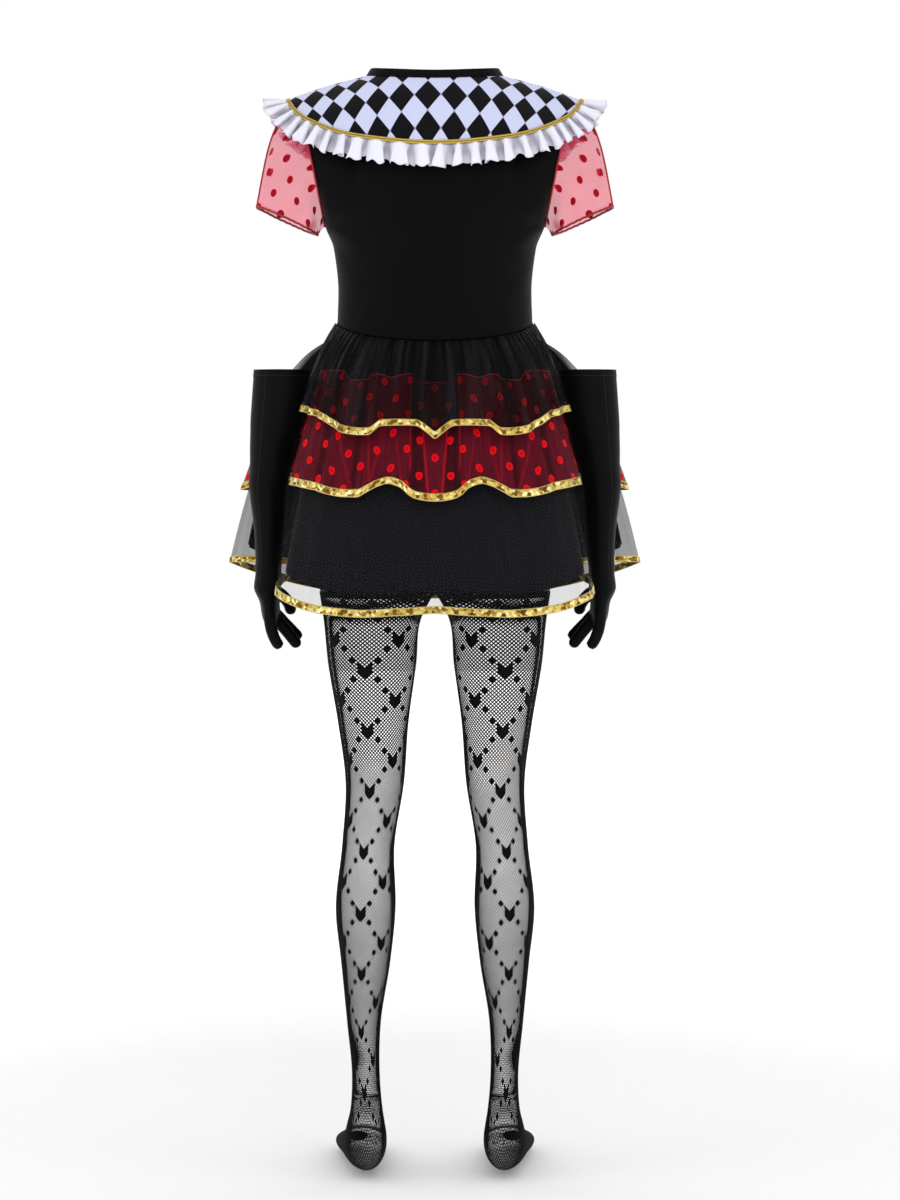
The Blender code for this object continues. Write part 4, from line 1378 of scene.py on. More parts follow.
# Operators
class COSTUME_OT_bodice(bpy.types.Operator):
    """Makes the black back and the red front of the bodice, with their soft creases."""

    bl_idname = "costume.bodice"
    bl_label = "Bodice"

    def execute(self, context):
        back = bodice_grid(CENTRE_BACK, -1.0)
        n = grid_normals(back, False)
        back = creased(back, n, (
            (0.04, 0.50, 0.30, 0.62, 0.030, 0.0010),
            (0.96, 0.50, 0.72, 0.64, 0.032, 0.0011),
            (0.10, 0.62, 0.34, 0.78, 0.034, -0.0008),
            (0.91, 0.66, 0.64, 0.80, 0.032, -0.0008),
            (0.22, 0.99, 0.26, 0.80, 0.022, 0.0009),
            (0.38, 0.99, 0.40, 0.84, 0.018, 0.0007),
            (0.63, 0.99, 0.60, 0.83, 0.018, 0.0008),
            (0.79, 0.99, 0.74, 0.80, 0.022, 0.0009),
            (0.50, 0.40, 0.50, 0.75, 0.060, -0.0009),
        ))
        piece = cloth("back_bodice_satin", back, black_stretch_satin(), thickness=0.0009)
        settle(piece, "black_satin", "bodice_back")
        declare(back)
        front = bodice_grid(CENTRE_FRONT, 1.0)
        n = grid_normals(front, False)
        front = creased(front, n, (
            (0.05, 0.52, 0.28, 0.60, 0.030, 0.0009),
            (0.95, 0.52, 0.70, 0.61, 0.030, 0.0010),
            (0.30, 0.98, 0.36, 0.74, 0.022, 0.0008),
            (0.68, 0.98, 0.64, 0.76, 0.022, 0.0008),
        ))
        piece = cloth("front_bodice_satin", front, red_satin(), thickness=0.0009)
        settle(piece, "red_satin", "bodice_front")
        declare(front)
        return {"FINISHED"}


class COSTUME_OT_collar(bpy.types.Operator):
    """Makes the neck binding, the checked cape collar and the plaited gold braid on its edge."""

    bl_idname = "costume.collar"
    bl_label = "Collar"

    def execute(self, context):
        self.binding()
        phi = open_ring(301)
        p, r = np.meshgrid(phi, np.linspace(0.015, 1.0, 34))
        grid = collar_point(p, r)
        n = grid_normals(grid, False, grid * 0 + CHEST)
        droop = np.cos(np.radians(p * 9.0 + 40)) * 0.0007 * r + np.cos(np.radians(p * 4.0)) * 0.0006 * r
        grid = grid + n * (droop - 0.0007)[..., None]
        rho = COLLAR_CUT_RADIUS + lengths(grid, 0)
        theta = COLLAR_CUT_TURN * np.radians(p)
        uv = np.stack([rho * np.sin(theta), -rho * np.cos(theta)], -1)
        centre = grid * 0 + CHEST
        piece = cloth("cape_collar_satin", grid, check_satin(), uv=uv, thickness=0.0009, centre=centre)
        settle(piece, "harlequin_satin", "collar")
        self.braid(phi)
        declare(grid)
        return {"FINISHED"}

    def binding(self):
        phi = np.arange(160) * 360.0 / 160
        ring = neckline(phi)
        out = unit(ring * np.array([1.0, 1.0, 0.0]))
        low = ring + unit(collar_edge(phi) - ring) * 0.0026 + out * 0.0009
        high = ring - out * 0.0022 + np.array([0, 0, 0.0086])
        inward = np.array([0.0, 0.0, 0.0005, 0.0011, 0.0017, 0.0019, 0.0019, 0.0022])
        upward = np.array([0.0, 0.93, 0.99, 1.02, 0.99, 0.93, 0.05, -0.35])
        rows = [low + (high - low) * h - out * i for h, i in zip(upward, inward)]
        grid = np.array(rows)
        grid += out[None] * (0.00025 * np.cos(np.radians(phi) * 40)[None, :, None])
        piece = cloth("neck_binding_tape", grid, black_stretch_satin(), closed=True)
        settle(piece, "black_satin", "neck_binding")
        declare(grid, closed=True)

    def braid(self, phi):
        """Two plaited rows side by side along the collar's edge."""
        places = []
        up = upright(unit(collar_edge(phi) - collar_point(phi, 0.7 + 0 * phi)))
        for row, lean in ((0.976, 0.45), (1.002, -0.45)):
            path = collar_point(phi, row + 0 * phi) + up * 0.0013
            points, way, share = spaced(path, 0.0024)
            normal = read_off(share, up)
            side = unit(np.cross(normal, way))
            places.append((points, unit(way + side * lean), normal))
        piece = stitches("collar_edge_braid", places, gold_thread(), 0.0050, 0.0029, 0.0018)
        settle(piece, "gold_ribbon", "collar_braid")


class COSTUME_OT_ruffle(bpy.types.Operator):
    """Makes the white fluted ruffle round the collar, with painted shade in its valleys."""

    bl_idname = "costume.ruffle"
    bl_label = "Ruffle"

    def execute(self, context):
        flutes = 50
        phi = open_ring(flutes * 20 + 1)
        turn = np.arange(len(phi)) / 20.0 * math.tau + wander(phi, 1.5, 1.5) + 0.5 * np.sin(phi * 0.71)
        edge = collar_edge(phi)
        along = ruffle_direction(phi)
        side = unit(np.gradient(edge, axis=0))
        lift = unit(np.cross(side, along))
        if np.sum(lift[:, 2]) < 0:
            lift = -lift
        uneven = 1.0 + 0.20 * np.sin(phi * 0.31 + 0.7) + 0.18 * np.sin(phi * 0.87)
        pitch = float(lengths(edge[:, None, :], 0)[-1, 0]) / flutes
        rows = []
        valley = []
        for r in np.linspace(0.0, 1.0, 13):
            swell = 0.22 + 0.78 * r**0.75
            ragged = 0.13 * np.cos(turn) * uneven * r + 0.07 * np.sin(phi * 2.3 + 1.0) * r
            width = picked("ruffle_width") * (1.0 + 0.05 * np.sin(phi * 0.55) + ragged)
            start = edge + along * (0.0004 + width * r)[:, None]
            sharp = np.cos(turn + 0.55 * np.sin(turn) + 0.5 * r * np.sin(phi * 1.9))
            high = sharp * picked("ruffle_depth") * swell * uneven
            slide = (np.sin(2 * turn) * 0.20 - np.sign(phi) * 0.22 * np.cos(turn)) * pitch * r * uneven
            rows.append(start + lift * (high + 0.0004)[:, None] + side * slide[:, None])
            # Painted shade: a thin dark line at each flute's deepest fold, fading towards the edge, over a
            # soft tint on the rest of the valley.
            line = np.clip(-2.2 * sharp - 1.2, 0, 1) ** 2 * (1 - 0.8 * step_up(r, 0.35, 0.95))
            soft = np.clip(0.30 - 0.45 * sharp, 0, 1) * 0.30
            valley.append(np.clip(soft + 0.75 * line, 0, 1))
        grid = np.array(rows)
        wide = hem_length(grid)
        down = lengths(grid, 0)
        u = np.linspace(0, wide, len(phi))[None, :] + 0 * down
        centre = grid * 0 + CHEST
        piece = cloth(
            "collar_ruffle_satin", grid, white_satin(), uv=np.stack([u, -down], -1), thickness=0.0005,
            marks={"valley": np.array(valley)}, centre=centre,
        )
        settle(piece, "white_satin", "collar_ruffle")
        hem = cords("ruffle_rolled_edge", [(grid[-1], False)], 0.00045, white_satin(), 5)
        settle(hem, "white_satin")
        declare(grid)
        return {"FINISHED"}


class COSTUME_OT_sleeves(bpy.types.Operator):
    """Makes the sheer spotted sleeves and their overlocked edges."""

    bl_idname = "costume.sleeves"
    bl_label = "Sleeves"

    def execute(self, context):
        finish = spotted_net()
        red = sewing_thread("dark red thread", (0.22, 0.001, 0.006), (0.36, 0.003, 0.012))
        for word, side in (("left", -1.0), ("right", 1.0)):
            theta, v = np.meshgrid(np.arange(128) * 360.0 / 128, np.linspace(0.0, 1.0, 44))
            grid = sleeve_point(theta, v, side)
            middle = grid.mean(axis=1, keepdims=True) + 0 * grid
            n = grid_normals(grid, True, middle)
            a = np.radians(theta)
            fold = np.cos(a * 7 + 1.2 + v * 1.4) * 0.0016 * bell(v, 0.75, 0.4)
            fold += bell(theta, 128, 9) * 0.0045 * step_up(v, 0.35, 1.0)
            fold -= bell(theta, 146, 8) * 0.0040 * step_up(v, 0.40, 1.0)
            fold += bell(theta, 40, 14) * 0.0016 * bell(v, 0.3, 0.35)
            grid = grid + n * fold[..., None]
            layer = bell(theta, 150, 12) * step_up(v, 0.3, 0.8) + bell(v, 1.0, 0.025) * 0.6
            layer += bell(v, 0.0, 0.03) * 0.8
            name = word + "_sleeve_net"
            ring = wrapped(grid)
            cut = self.cut(ring, lengths(ring, 1))
            piece = cloth(name, grid, finish, uv=cut, closed=True, marks={"layer": layer}, centre=middle)
            settle(piece, "red_spot_net", "sleeve_" + word)
            wavy = grid[-1] + n[-1] * (np.sin(a[-1] * 23) * 0.0006)[:, None]
            wavy[:, 2] += np.sin(a[-1] * 31 + 1.0) * 0.0007
            outer = grid[:, 0] + n[:, 0] * 0.0003
            paths = [(wavy, True), (grid[0] + n[0] * 0.0006, True), (outer, False)]
            edge = cords(word + "_sleeve_hem_cord", paths, 0.0013, red)
            settle(edge, "red_spot_net")
            points, way, up = along_grid(ring, wrapped(n), -1, 0.0016, 0.0008)
            lean = unit(way * 0.4 + unit(np.cross(up, way)))
            places = [(points, lean, up)]
            stitched = stitches(word + "_sleeve_overlock", places, red, 0.0038, 0.0014, 0.0012)
            settle(stitched, "red_spot_net")
            declare(grid, closed=True)
        return {"FINISHED"}

    def cut(self, ring, run):
        """Cut coordinates out from the outer seam, with the front's dots straight behind the back's."""
        u = np.minimum(run, run[:, -1:] - run)
        near = np.minimum(ring[..., 1], ring[:, ::-1, 1])
        share = (near - EYE[1]) / (ring[..., 1] - EYE[1])
        x = np.abs(ring[..., 0])
        slope = np.clip(np.abs(np.gradient(x, axis=1) / np.gradient(run, axis=1)), 0.45, 1.0)
        height = EYE[2] + (ring[..., 2] - EYE[2]) * share
        return np.stack([u + x * (1 - share) / slope, (height - SHOULDER_TIP[2]) * 1.03], -1)


class COSTUME_OT_underskirt(bpy.types.Operator):
    """Makes the opaque black underskirt."""

    bl_idname = "costume.underskirt"
    bl_label = "Underskirt"

    def execute(self, context):
        columns = 288
        grid = all_round(underskirt_point, columns, np.linspace(0.0, 1.0, 44))[0]
        wide = hem_length(grid)
        uv = strip_uv(grid, wide, columns)
        piece = cloth("underskirt_lining", grid, lining_satin(), uv=uv, closed=True, thickness=0.0008)
        settle(piece, "black_lining_satin", "underskirt_back", "underskirt_front")
        declare(grid, closed=True)
        return {"FINISHED"}


class COSTUME_OT_overskirt(bpy.types.Operator):
    """Makes the sheer overskirt with its gold hem ribbon."""

    bl_idname = "costume.overskirt"
    bl_label = "Overskirt"

    def execute(self, context):
        columns = 480
        grid, p, r = all_round(tulle_point, columns, np.linspace(0.0, 1.0, 60))
        wide = hem_length(grid)
        cover = mirrored(VEIL, "cover", p) * (0.9 + 0.25 * (1 - r)) + 0.5 * (1 - step_up(r, 0.0, 0.35))
        piece = cloth(
            "overskirt_tulle", grid, black_tulle(), uv=strip_uv(grid, wide, columns), closed=True,
            marks={"cover": np.clip(cover, 0, 0.95)},
        )
        settle(piece, "black_tulle", "tulle_back", "tulle_front")
        ribbon = hem_ribbon("overskirt_ribbon", tulle_point, columns, 0.027)
        settle(ribbon, "gold_ribbon", "tulle_ribbon_back", "tulle_ribbon_front")
        declare(grid, closed=True)
        return {"FINISHED"}


def hem_ribbon(name, point, columns, drop, *more):
    """A flat foil ribbon laid on the last strip of a tier, with the small puckers of its stitching."""
    rows = np.linspace(1.0 - drop, 1.0 + drop * 0.04, 7)
    grid, p, _ = all_round(point, columns, rows, *more)
    n = grid_normals(grid, True)
    pucker = np.sin(np.radians(p) * 131.0) * 0.00025 + np.sin(np.radians(p) * 89.0 + 1.0) * 0.0002
    grid = grid + n * (0.0008 + pucker * np.sin(np.linspace(0, math.pi, 7))[:, None])[..., None]
    width = float(lengths(grid, 0)[-1].mean())
    wide = hem_length(grid)
    down = np.linspace(0.0, -width, 7)[:, None] + np.zeros((1, columns + 1))
    across = np.linspace(0.0, wide, columns + 1)[None, :] + 0 * down
    return cloth(
        name, grid, gold_foil(width), uv=np.stack([across, down], -1), closed=True, thickness=0.0005
    )


class COSTUME_OT_tiers(bpy.types.Operator):
    """Makes the spotted tier and the gathered organza tier over it, each with its ribbon."""

    bl_idname = "costume.tiers"
    bl_label = "Tiers"

    def execute(self, context):
        self.spotted()
        self.organza()
        return {"FINISHED"}

    def spotted(self):
        columns = 900
        grid, p, r = all_round(spotted_point, columns, np.linspace(0.0, 1.0, 36))
        # The fold mark carries a painted highlight, the gap mark a painted shade.
        fold = fold_highlights(p, r)
        piece = cloth(
            "spotted_tier_organza", grid, spotted_organza(), uv=self.folded_cut(grid, columns), closed=True,
            marks={"fold": fold, "gap": gaps(p)},
        )
        settle(piece, "red_spot_organza", "tier2_back", "tier2_front")
        ribbon = hem_ribbon("spotted_tier_ribbon", spotted_point, columns, 0.065)
        settle(ribbon, "gold_ribbon", "tier2_ribbon_back", "tier2_ribbon_front")
        red = sewing_thread("red edge thread", (0.22, 0.003, 0.008), (0.42, 0.006, 0.016))
        edge = cords("spotted_tier_top_edge", [(grid[0], True)], 0.0008, red)
        settle(edge, "red_spot_organza")
        declare(grid, closed=True)

    def folded_cut(self, grid, columns):
        """Cut coordinates that run out from the centre back on both sides, true across the cloth."""
        ring = wrapped(grid)
        run = lengths(ring, 1).mean(axis=0)
        down = lengths(ring, 0)
        return np.stack([np.abs(run - run[columns // 2])[None, :] * 1.2 + 0 * down, -down], -1)

    def organza(self):
        columns = 720
        depth = picked("gather_depth")
        grid, p, r = all_round(organza_point, columns, np.linspace(0.0, 1.0, 40), depth)
        wide = hem_length(grid)
        smoothed = (np.roll(grid, 9, axis=1) + np.roll(grid, -9, axis=1)) / 2
        out = np.sum((grid - smoothed) * grid_normals(grid, True), -1)
        crest = np.clip(0.5 + out / 0.0024, 0, 1)
        # Painted shade: the valleys between the panels and the centre back, where the organza is made more
        # opaque.
        valley = np.maximum(gaps(p) * 0.95, bell(np.abs(signed(p)), 0.0, 5.5) * 0.45)
        bunched = np.maximum(1 - step_up(r, 0.0, 0.45), valley * step_up(r, 0.1, 0.3))
        piece = cloth(
            "top_tier_organza", grid, black_organza(), uv=strip_uv(grid, wide, columns), closed=True,
            marks={"crest": crest, "bunched": bunched},
        )
        settle(piece, "black_organza", "tier1_back", "tier1_front")
        ribbon = hem_ribbon("top_tier_ribbon", organza_point, columns, 0.075, depth)
        settle(ribbon, "gold_ribbon", "tier1_ribbon_back", "tier1_ribbon_front")
        declare(grid, closed=True)


class COSTUME_OT_gloves(bpy.types.Operator):
    """Makes the long gloves, each one skin with its outer seam and stitched top hem."""

    bl_idname = "costume.gloves"
    bl_label = "Gloves"

    def execute(self, context):
        finish = glove_stretch()
        thread = sewing_thread("black thread", (0.006, 0.006, 0.007), (0.022, 0.022, 0.025))
        for word, side in (("left", -1.0), ("right", 1.0)):
            self.glove(word, side, finish, thread)
        return {"FINISHED"}

    def arm(self, angles, heights):
        """A grid of the arm and palm at the outside of the cloth."""
        z, a = np.meshgrid(heights, angles, indexing="ij")
        x = smooth(GLOVE, "z", "x", z) + smooth(GLOVE, "z", "half_x", z) * np.cos(a)
        y = smooth(GLOVE, "z", "y", z) + smooth(GLOVE, "z", "half_y", z) * np.sin(a)
        return np.stack([x, y, z], -1)

    def finger(self, k):
        y0, y1, x0, z0, xm, zm, x1, z1, radius = (FINGERS[n][k] for n in FINGERS)
        knots = np.array([(x0, y0, z0), (xm, (y0 + y1) / 2, zm), (x1, y1, z1)])
        t = np.linspace(0.0, 1.0, 13)[:, None]
        bend = 2 * knots[1] - (knots[0] + knots[2]) / 2
        path = knots[0] * (1 - t) ** 2 + 2 * t * (1 - t) * bend + knots[2] * t**2
        tip = unit(path[-1] - path[-2])
        ends = path[-1] + tip * np.array([0.25, 0.5, 0.7, 0.82])[:, None] * radius
        path = np.concatenate([path, ends])
        size = np.concatenate([np.linspace(1.05, 0.94, 13), [0.90, 0.78, 0.56, 0.24]])
        way = unit(np.gradient(path, axis=0))
        first = unit(np.cross(way, np.array([0.0, 1.0, 0.0])))
        second = np.cross(first, way)
        a = np.arange(16) * math.tau / 16
        ring = first[:, None] * np.cos(a)[None, :, None] + second[:, None] * np.sin(a)[None, :, None]
        return path[:, None] + ring * (radius * size)[:, None, None]

    def glove(self, word, side, finish, thread):
        heights = np.linspace(0.7530, 1.1060, 90)
        parts = [self.arm(np.arange(40) * math.tau / 40, heights)]
        parts += [self.finger(k) for k in range(5)]
        bm = bmesh.new()
        for grid in parts:
            grid = grid * np.array([side, 1.0, 1.0]) - SOLES_TO_NECK
            rings = [[bm.verts.new(point) for point in ring] for ring in grid]
            count = len(rings[0])
            for one, two in zip(rings, rings[1:]):
                for k in range(count):
                    m = (k + 1) % count
                    bm.faces.new((one[k], one[m], two[m], two[k]))
            bm.faces.new(rings[0])
            bm.faces.new(list(reversed(rings[-1])))
        bmesh.ops.recalc_face_normals(bm, faces=bm.faces)
        mesh = bpy.data.meshes.new(word + "_glove_knit")
        bm.to_mesh(mesh)
        bm.free()
        obj = link(word + "_glove_knit", mesh)
        remesh = obj.modifiers.new("one skin", "REMESH")
        remesh.mode = "VOXEL"
        remesh.voxel_size = 0.0022
        relax = obj.modifiers.new("relax", "SMOOTH")
        relax.factor = 0.5
        relax.iterations = 5
        depsgraph = bpy.context.evaluated_depsgraph_get()
        skin = bpy.data.meshes.new_from_object(obj.evaluated_get(depsgraph))
        obj.modifiers.clear()
        obj.data = skin
        top = float(GLOVE["z"][-1]) - NECK_HEIGHT
        bm = bmesh.new()
        bm.from_mesh(skin)
        bmesh.ops.bisect_plane(
            bm, geom=bm.verts[:] + bm.edges[:] + bm.faces[:], plane_co=(0, 0, top), plane_no=(0, 0, 1),
            clear_outer=True,
        )
        bm.normal_update()
        for v in bm.verts:
            v.co += v.normal * self.wrinkle(v.co, side)
        bmesh.ops.recalc_face_normals(bm, faces=bm.faces)
        bm.to_mesh(skin)
        bm.free()
        skin.materials.clear()
        skin.materials.append(finish)
        skin.polygons.foreach_set("use_smooth", [True] * len(skin.polygons))
        shell = obj.modifiers.new("cloth thickness", "SOLIDIFY")
        shell.thickness = 0.0008
        shell.offset = -1.0
        settle(obj, "black_stretch", "glove_" + word)
        sewn = self.seams(word, side, thread)

    def wrinkle(self, co, side):
        """Soft folds round the wrist and elbow, as a stretch glove has, and a slight hem."""
        z = co.z + NECK_HEIGHT
        x = co.x * side - 0.222
        a = math.atan2(co.y, x)
        out = 0.0005
        for height, lean, width, depth, turn in (
            (0.8360, 0.006, 0.0042, 0.0009, 0.4),
            (0.8490, -0.008, 0.0050, 0.0008, 1.9),
            (0.8660, 0.010, 0.0060, 0.0007, 3.6),
            (0.9150, -0.012, 0.0090, 0.0007, 2.6),
            (0.9620, 0.016, 0.0100, 0.0008, 0.9),
            (1.0060, -0.014, 0.0090, 0.0007, 4.4),
            (1.0380, 0.012, 0.0080, 0.0006, 2.0),
        ):
            off = (z - height - lean * math.sin(a - turn)) / width
            out += depth * math.exp(-off * off) * (0.5 + 0.5 * math.cos(a - turn))
        if z > 1.088:
            out += 0.0004
        return out

    def seams(self, word, side, thread):
        """The stitching of the outer seam and of the top hem."""
        flip = np.array([side, 1.0, 1.0])
        heights = np.linspace(0.8100, 1.0960, 60)
        seam = np.array([self.arm(np.array([-1.05]), np.array([z]))[0, 0] for z in heights]) * flip
        middle = np.stack([smooth(GLOVE, "z", "x", heights), 0 * heights, heights], -1) * flip
        n = unit((seam - middle) * np.array([1.0, 1.0, 0.0]))
        points, way, share = spaced(seam + n * 0.0008, 0.0024)
        up = read_off(share, n)
        places = [(points, unit(way + unit(np.cross(up, way)) * 0.35), up)]
        a = np.arange(121) * math.tau / 120
        hem = self.arm(a, np.array([1.0905]))[0] * flip
        n = unit((hem - np.array([0.2063 * side, 0, 0])) * np.array([1.0, 1.0, 0.0]))
        points, way, share = spaced(hem + n * 0.0011, 0.0030)
        up = read_off(share, n)
        places.append((points, way, up))
        piece = stitches(word + "_glove_stitching", places, thread, 0.0021, 0.0006, 0.0005)
        settle(piece, "black_stretch")
        return piece


class COSTUME_OT_tights(bpy.types.Operator):
    """Makes the net legs with their hearts and diamonds, the plain brief and the waistband."""

    bl_idname = "costume.tights"
    bl_label = "Tights"

    def execute(self, context):
        finish = net_thread()
        tree = net_tree()
        for word, side in (("left", -1.0), ("right", 1.0)):
            self.leg(word, side, finish, tree)
        self.brief()
        self.waistband()
        return {"FINISHED"}

    def rings(self, angles, side):
        """The leg's rings from the brief down to the toes."""
        a = np.radians(angles)
        local = (angles + 180.0) % 360.0 - 180.0
        outer = np.abs(local) <= 140.0
        psi = np.radians((np.clip(local, -140, 140) + 140) / 280 * 180)
        x = np.where(outer, 0.0012 + BRIEF["half_x"][0] * np.sin(psi) ** BRIEF["power"][0], 0.0012)
        reach = ((angles % 360.0) - 140.0) / 80.0
        inner_y = BRIEF["half_y"][0] * (1 - 2 * np.clip(reach, 0, 1))
        y = BRIEF["y"][0] + np.where(outer, -BRIEF["half_y"][0] * np.cos(psi), inner_y)
        found = [np.stack([x, y, 0 * x + 0.8], -1)]
        for i in range(len(LEG["z"])):
            x = LEG["x"][i] + LEG["half_x"][i] * np.cos(a)
            y = LEG["y"][i] + LEG["half_y"][i] * np.sin(a)
            found.append(np.stack([x, y, 0 * x + LEG["z"][i]], -1))
        for i in range(len(FOOT["z"])):
            tilt = math.radians(FOOT["tilt"][i])
            turn = math.radians(TOE_OUT_DEG)
            wide = FOOT["half_x"][i] * np.cos(a)
            up = FOOT["half_up"][i] * np.sin(a)
            y = FOOT["y"][i] + up * math.cos(tilt)
            z = FOOT["z"][i] + up * math.sin(tilt)
            x = 0.0915 + wide * math.cos(turn) + (y + 0.03) * math.sin(turn)
            found.append(np.stack([x, y - wide * math.sin(turn), z], -1))
        return np.array(found) * np.array([side, 1.0, 1.0])

    def leg(self, word, side, finish, tree):
        wales = NET_WALES * 2
        angles = HEART_ANGLE + np.arange(wales) * 360.0 / wales
        rings = self.rings(angles, side)
        total = float(lengths(rings, 0)[-1].mean())
        rows = int(round(total / NET_HALF_ROW)) + 1
        grid = resampled(rings, rows)
        heights = grid[:, :, 2].mean(axis=1)
        grid = self.behind(grid, heights, side)
        middle = grid.mean(axis=1, keepdims=True) + 0 * grid
        n = grid_normals(grid, True, middle)
        wide = self.spacing(grid) / NET_SPACING
        start = int(np.argmin(np.abs(heights - HEART_HEIGHT)))
        i = np.arange(wales)[None, :] + 0 * np.arange(rows)[:, None]
        j = start - np.arange(rows)[:, None] + 0 * i
        crossing = (i + j) % 2 == 1
        plain = heights < PLAIN_BELOW
        low = grid - SOLES_TO_NECK
        verts = low.reshape(-1, 3)
        facing = n.reshape(-1, 3)
        around = unit(np.roll(grid, -1, axis=1) - np.roll(grid, 1, axis=1)).reshape(-1, 3)
        lean = around * THREAD_TILT
        turned = np.concatenate([unit(facing + lean), unit(facing - lean), facing])
        edges = []
        for slant in (1, -1):
            r, c = np.nonzero(crossing[:-1])
            pairs = np.stack([r * wales + c, (r + 1) * wales + (c + slant) % wales], axis=1)
            edges.append(pairs)
        filled = self.filled(wales, rows, start, plain)
        used = np.concatenate([edges[0], edges[1] + len(verts)])
        fr, fc = np.nonzero(filled[1:-1])
        fr = fr + 1
        off = 2 * len(verts)
        corner = [(fr - 1, fc), (fr, (fc + 1) % wales), (fr + 1, fc), (fr, (fc - 1) % wales)]
        faces = np.stack([a * wales + b + off for a, b in corner], axis=1)
        if side > 0:
            faces = faces[:, ::-1]
        lifted = verts + facing * 0.0001
        points = np.concatenate([verts, verts + facing * 0.0002, lifted])
        mesh = bpy.data.meshes.new(word + "_leg_net")
        mesh.from_pydata(points.tolist(), used.tolist(), faces.tolist())
        item = mesh.attributes.new("facing", "FLOAT_VECTOR", "POINT")
        item.data.foreach_set("vector", turned.astype(np.float32).ravel())
        item = mesh.attributes.new("wide", "FLOAT", "POINT")
        item.data.foreach_set("value", np.tile(wide.ravel(), 3).astype(np.float32))
        item = mesh.attributes.new("thread", "BOOLEAN", "EDGE")
        ends = np.empty(len(mesh.edges) * 2, dtype=np.int32)
        mesh.edges.foreach_get("vertices", ends)
        flags = ends.reshape(-1, 2).max(axis=1) < off
        item.data.foreach_set("value", flags)
        piece = grow(word + "_leg_net", mesh, tree, finish, Thread=picked("thread_width"))
        settle(piece, "black_net", "tights_leg_" + word)
        toe = self.toe(word, grid[-1], finish)
        band = grid[:4]
        seam = cloth(word + "_leg_top_seam", band + n[:4] * 0.0002, finish, closed=True, centre=middle[:4])
        settle(seam, "black_net")
        settle(toe, "black_net")

    def spacing(self, grid):
        """How far apart the threads lie at each knot: less where the leg is thin."""
        across = np.linalg.norm(np.roll(grid, -1, axis=1) - np.roll(grid, 1, axis=1), axis=-1) / 2
        down = np.linalg.norm(np.gradient(grid, axis=0), axis=-1)
        return np.clip(2 * across * down / np.hypot(across, down), 0.0012, 0.0055)

    def behind(self, grid, heights, side):
        """Sets the hidden front's meshes straight behind the back's, so that both read as one net."""
        rows, wales = grid.shape[:2]
        turn = 360.0 / wales
        angle = (HEART_ANGLE + np.arange(wales) * turn) % 360.0
        k = np.nonzero((angle > 1.0) & (angle < 179.0))[0]
        partner = (int(round(-2 * HEART_ANGLE / turn)) - k) % wales

        def at(r, c):
            r = np.clip(r, 0.0, rows - 1.001)
            i = np.floor(r).astype(int)
            j = np.floor(c).astype(int)
            s = (r - i)[..., None]
            t = (c - j)[..., None]
            upper = grid[i, j % wales] * (1 - t) + grid[i, (j + 1) % wales] * t
            lower = grid[i + 1, j % wales] * (1 - t) + grid[i + 1, (j + 1) % wales] * t
            return upper * (1 - s) + lower * s

        def seen(points):
            d = points - EYE
            return d[..., 0] / d[..., 1], d[..., 2] / d[..., 1]

        goal_x, goal_z = seen(grid[:, partner])
        r0 = np.arange(rows)[:, None] + 0.0 * k
        c0 = k + 0.0 * r0
        r = r0.copy()
        c = c0.copy()
        for _ in range(14):
            p = at(r, c)
            x, z = seen(p)
            deep = p[..., 1] - EYE[1]
            down = np.minimum(at(r + 0.5, c)[..., 2] - at(r - 0.5, c)[..., 2], -0.0010)
            across = -side * np.maximum(np.abs(at(r, c + 0.5)[..., 0] - at(r, c - 0.5)[..., 0]), 0.0006)
            r = r + np.clip((goal_z - z) * deep / down, -2.0, 2.0)
            c = c + np.clip((goal_x - x) * deep / across, -0.5, 0.5)
        low = step_up(heights, *MOVED_ABOVE)[:, None]
        high = 1 - step_up(heights, *MOVED_BELOW)[:, None]
        middle = step_up(np.sin(np.radians(angle[k])), *MOVED_FROM)[None, :]
        r = r0 + np.clip(r - r0, -MOST_UP, MOST_UP) * low * high
        c = c0 + np.clip(c - c0, -MOST_ACROSS, MOST_ACROSS) * low * high * middle
        moved = grid.copy()
        moved[:, k] = at(r, c)
        return moved

    def toe(self, word, ring, finish):
        """The toe's closed end, gathered to its seam."""
        middle = ring.mean(axis=0)
        rows = []
        for t in (0.0, 0.3, 0.6, 0.85, 0.985):
            rows.append(ring + (middle - ring) * t + np.array([0, 0.004 * math.sqrt(t), 0]))
        grid = np.array(rows)
        centre = grid * 0 + middle - np.array([0.0, 0.05, 0.0])
        return cloth(word + "_toe_cap", grid, finish, closed=True, centre=centre)

    def filled(self, wales, rows, start, plain):
        """The meshes knitted closed: hearts and small diamonds, but none on the hidden front."""
        found = np.zeros((rows, wales), dtype=bool)
        for row in range(rows):
            if plain[row]:
                continue
            up = start - row
            for base in range(-2, 40):
                for shift, origin in ((0, 0), (16, 16)):
                    middle = origin - base * 32 + 32 * 8
                    dy = up - middle
                    if abs(dy) > 16:
                        continue
                    for turn in range(0, wales, 32):
                        for dx in HEART_ROWS.get(dy, ()):
                            found[row, (turn + shift + dx) % wales] = True
                        for dx, dh in DIAMONDS:
                            if abs(dh - dy) < 2:
                                side = 1 - abs(dh - dy)
                                found[row, (turn + shift + dx - side) % wales] = True
                                found[row, (turn + shift + dx + side) % wales] = True
        hidden = np.sin(np.radians(HEART_ANGLE + np.arange(wales) * 360.0 / wales)) > HIDDEN_FRONT
        found[:, hidden] = False
        return found

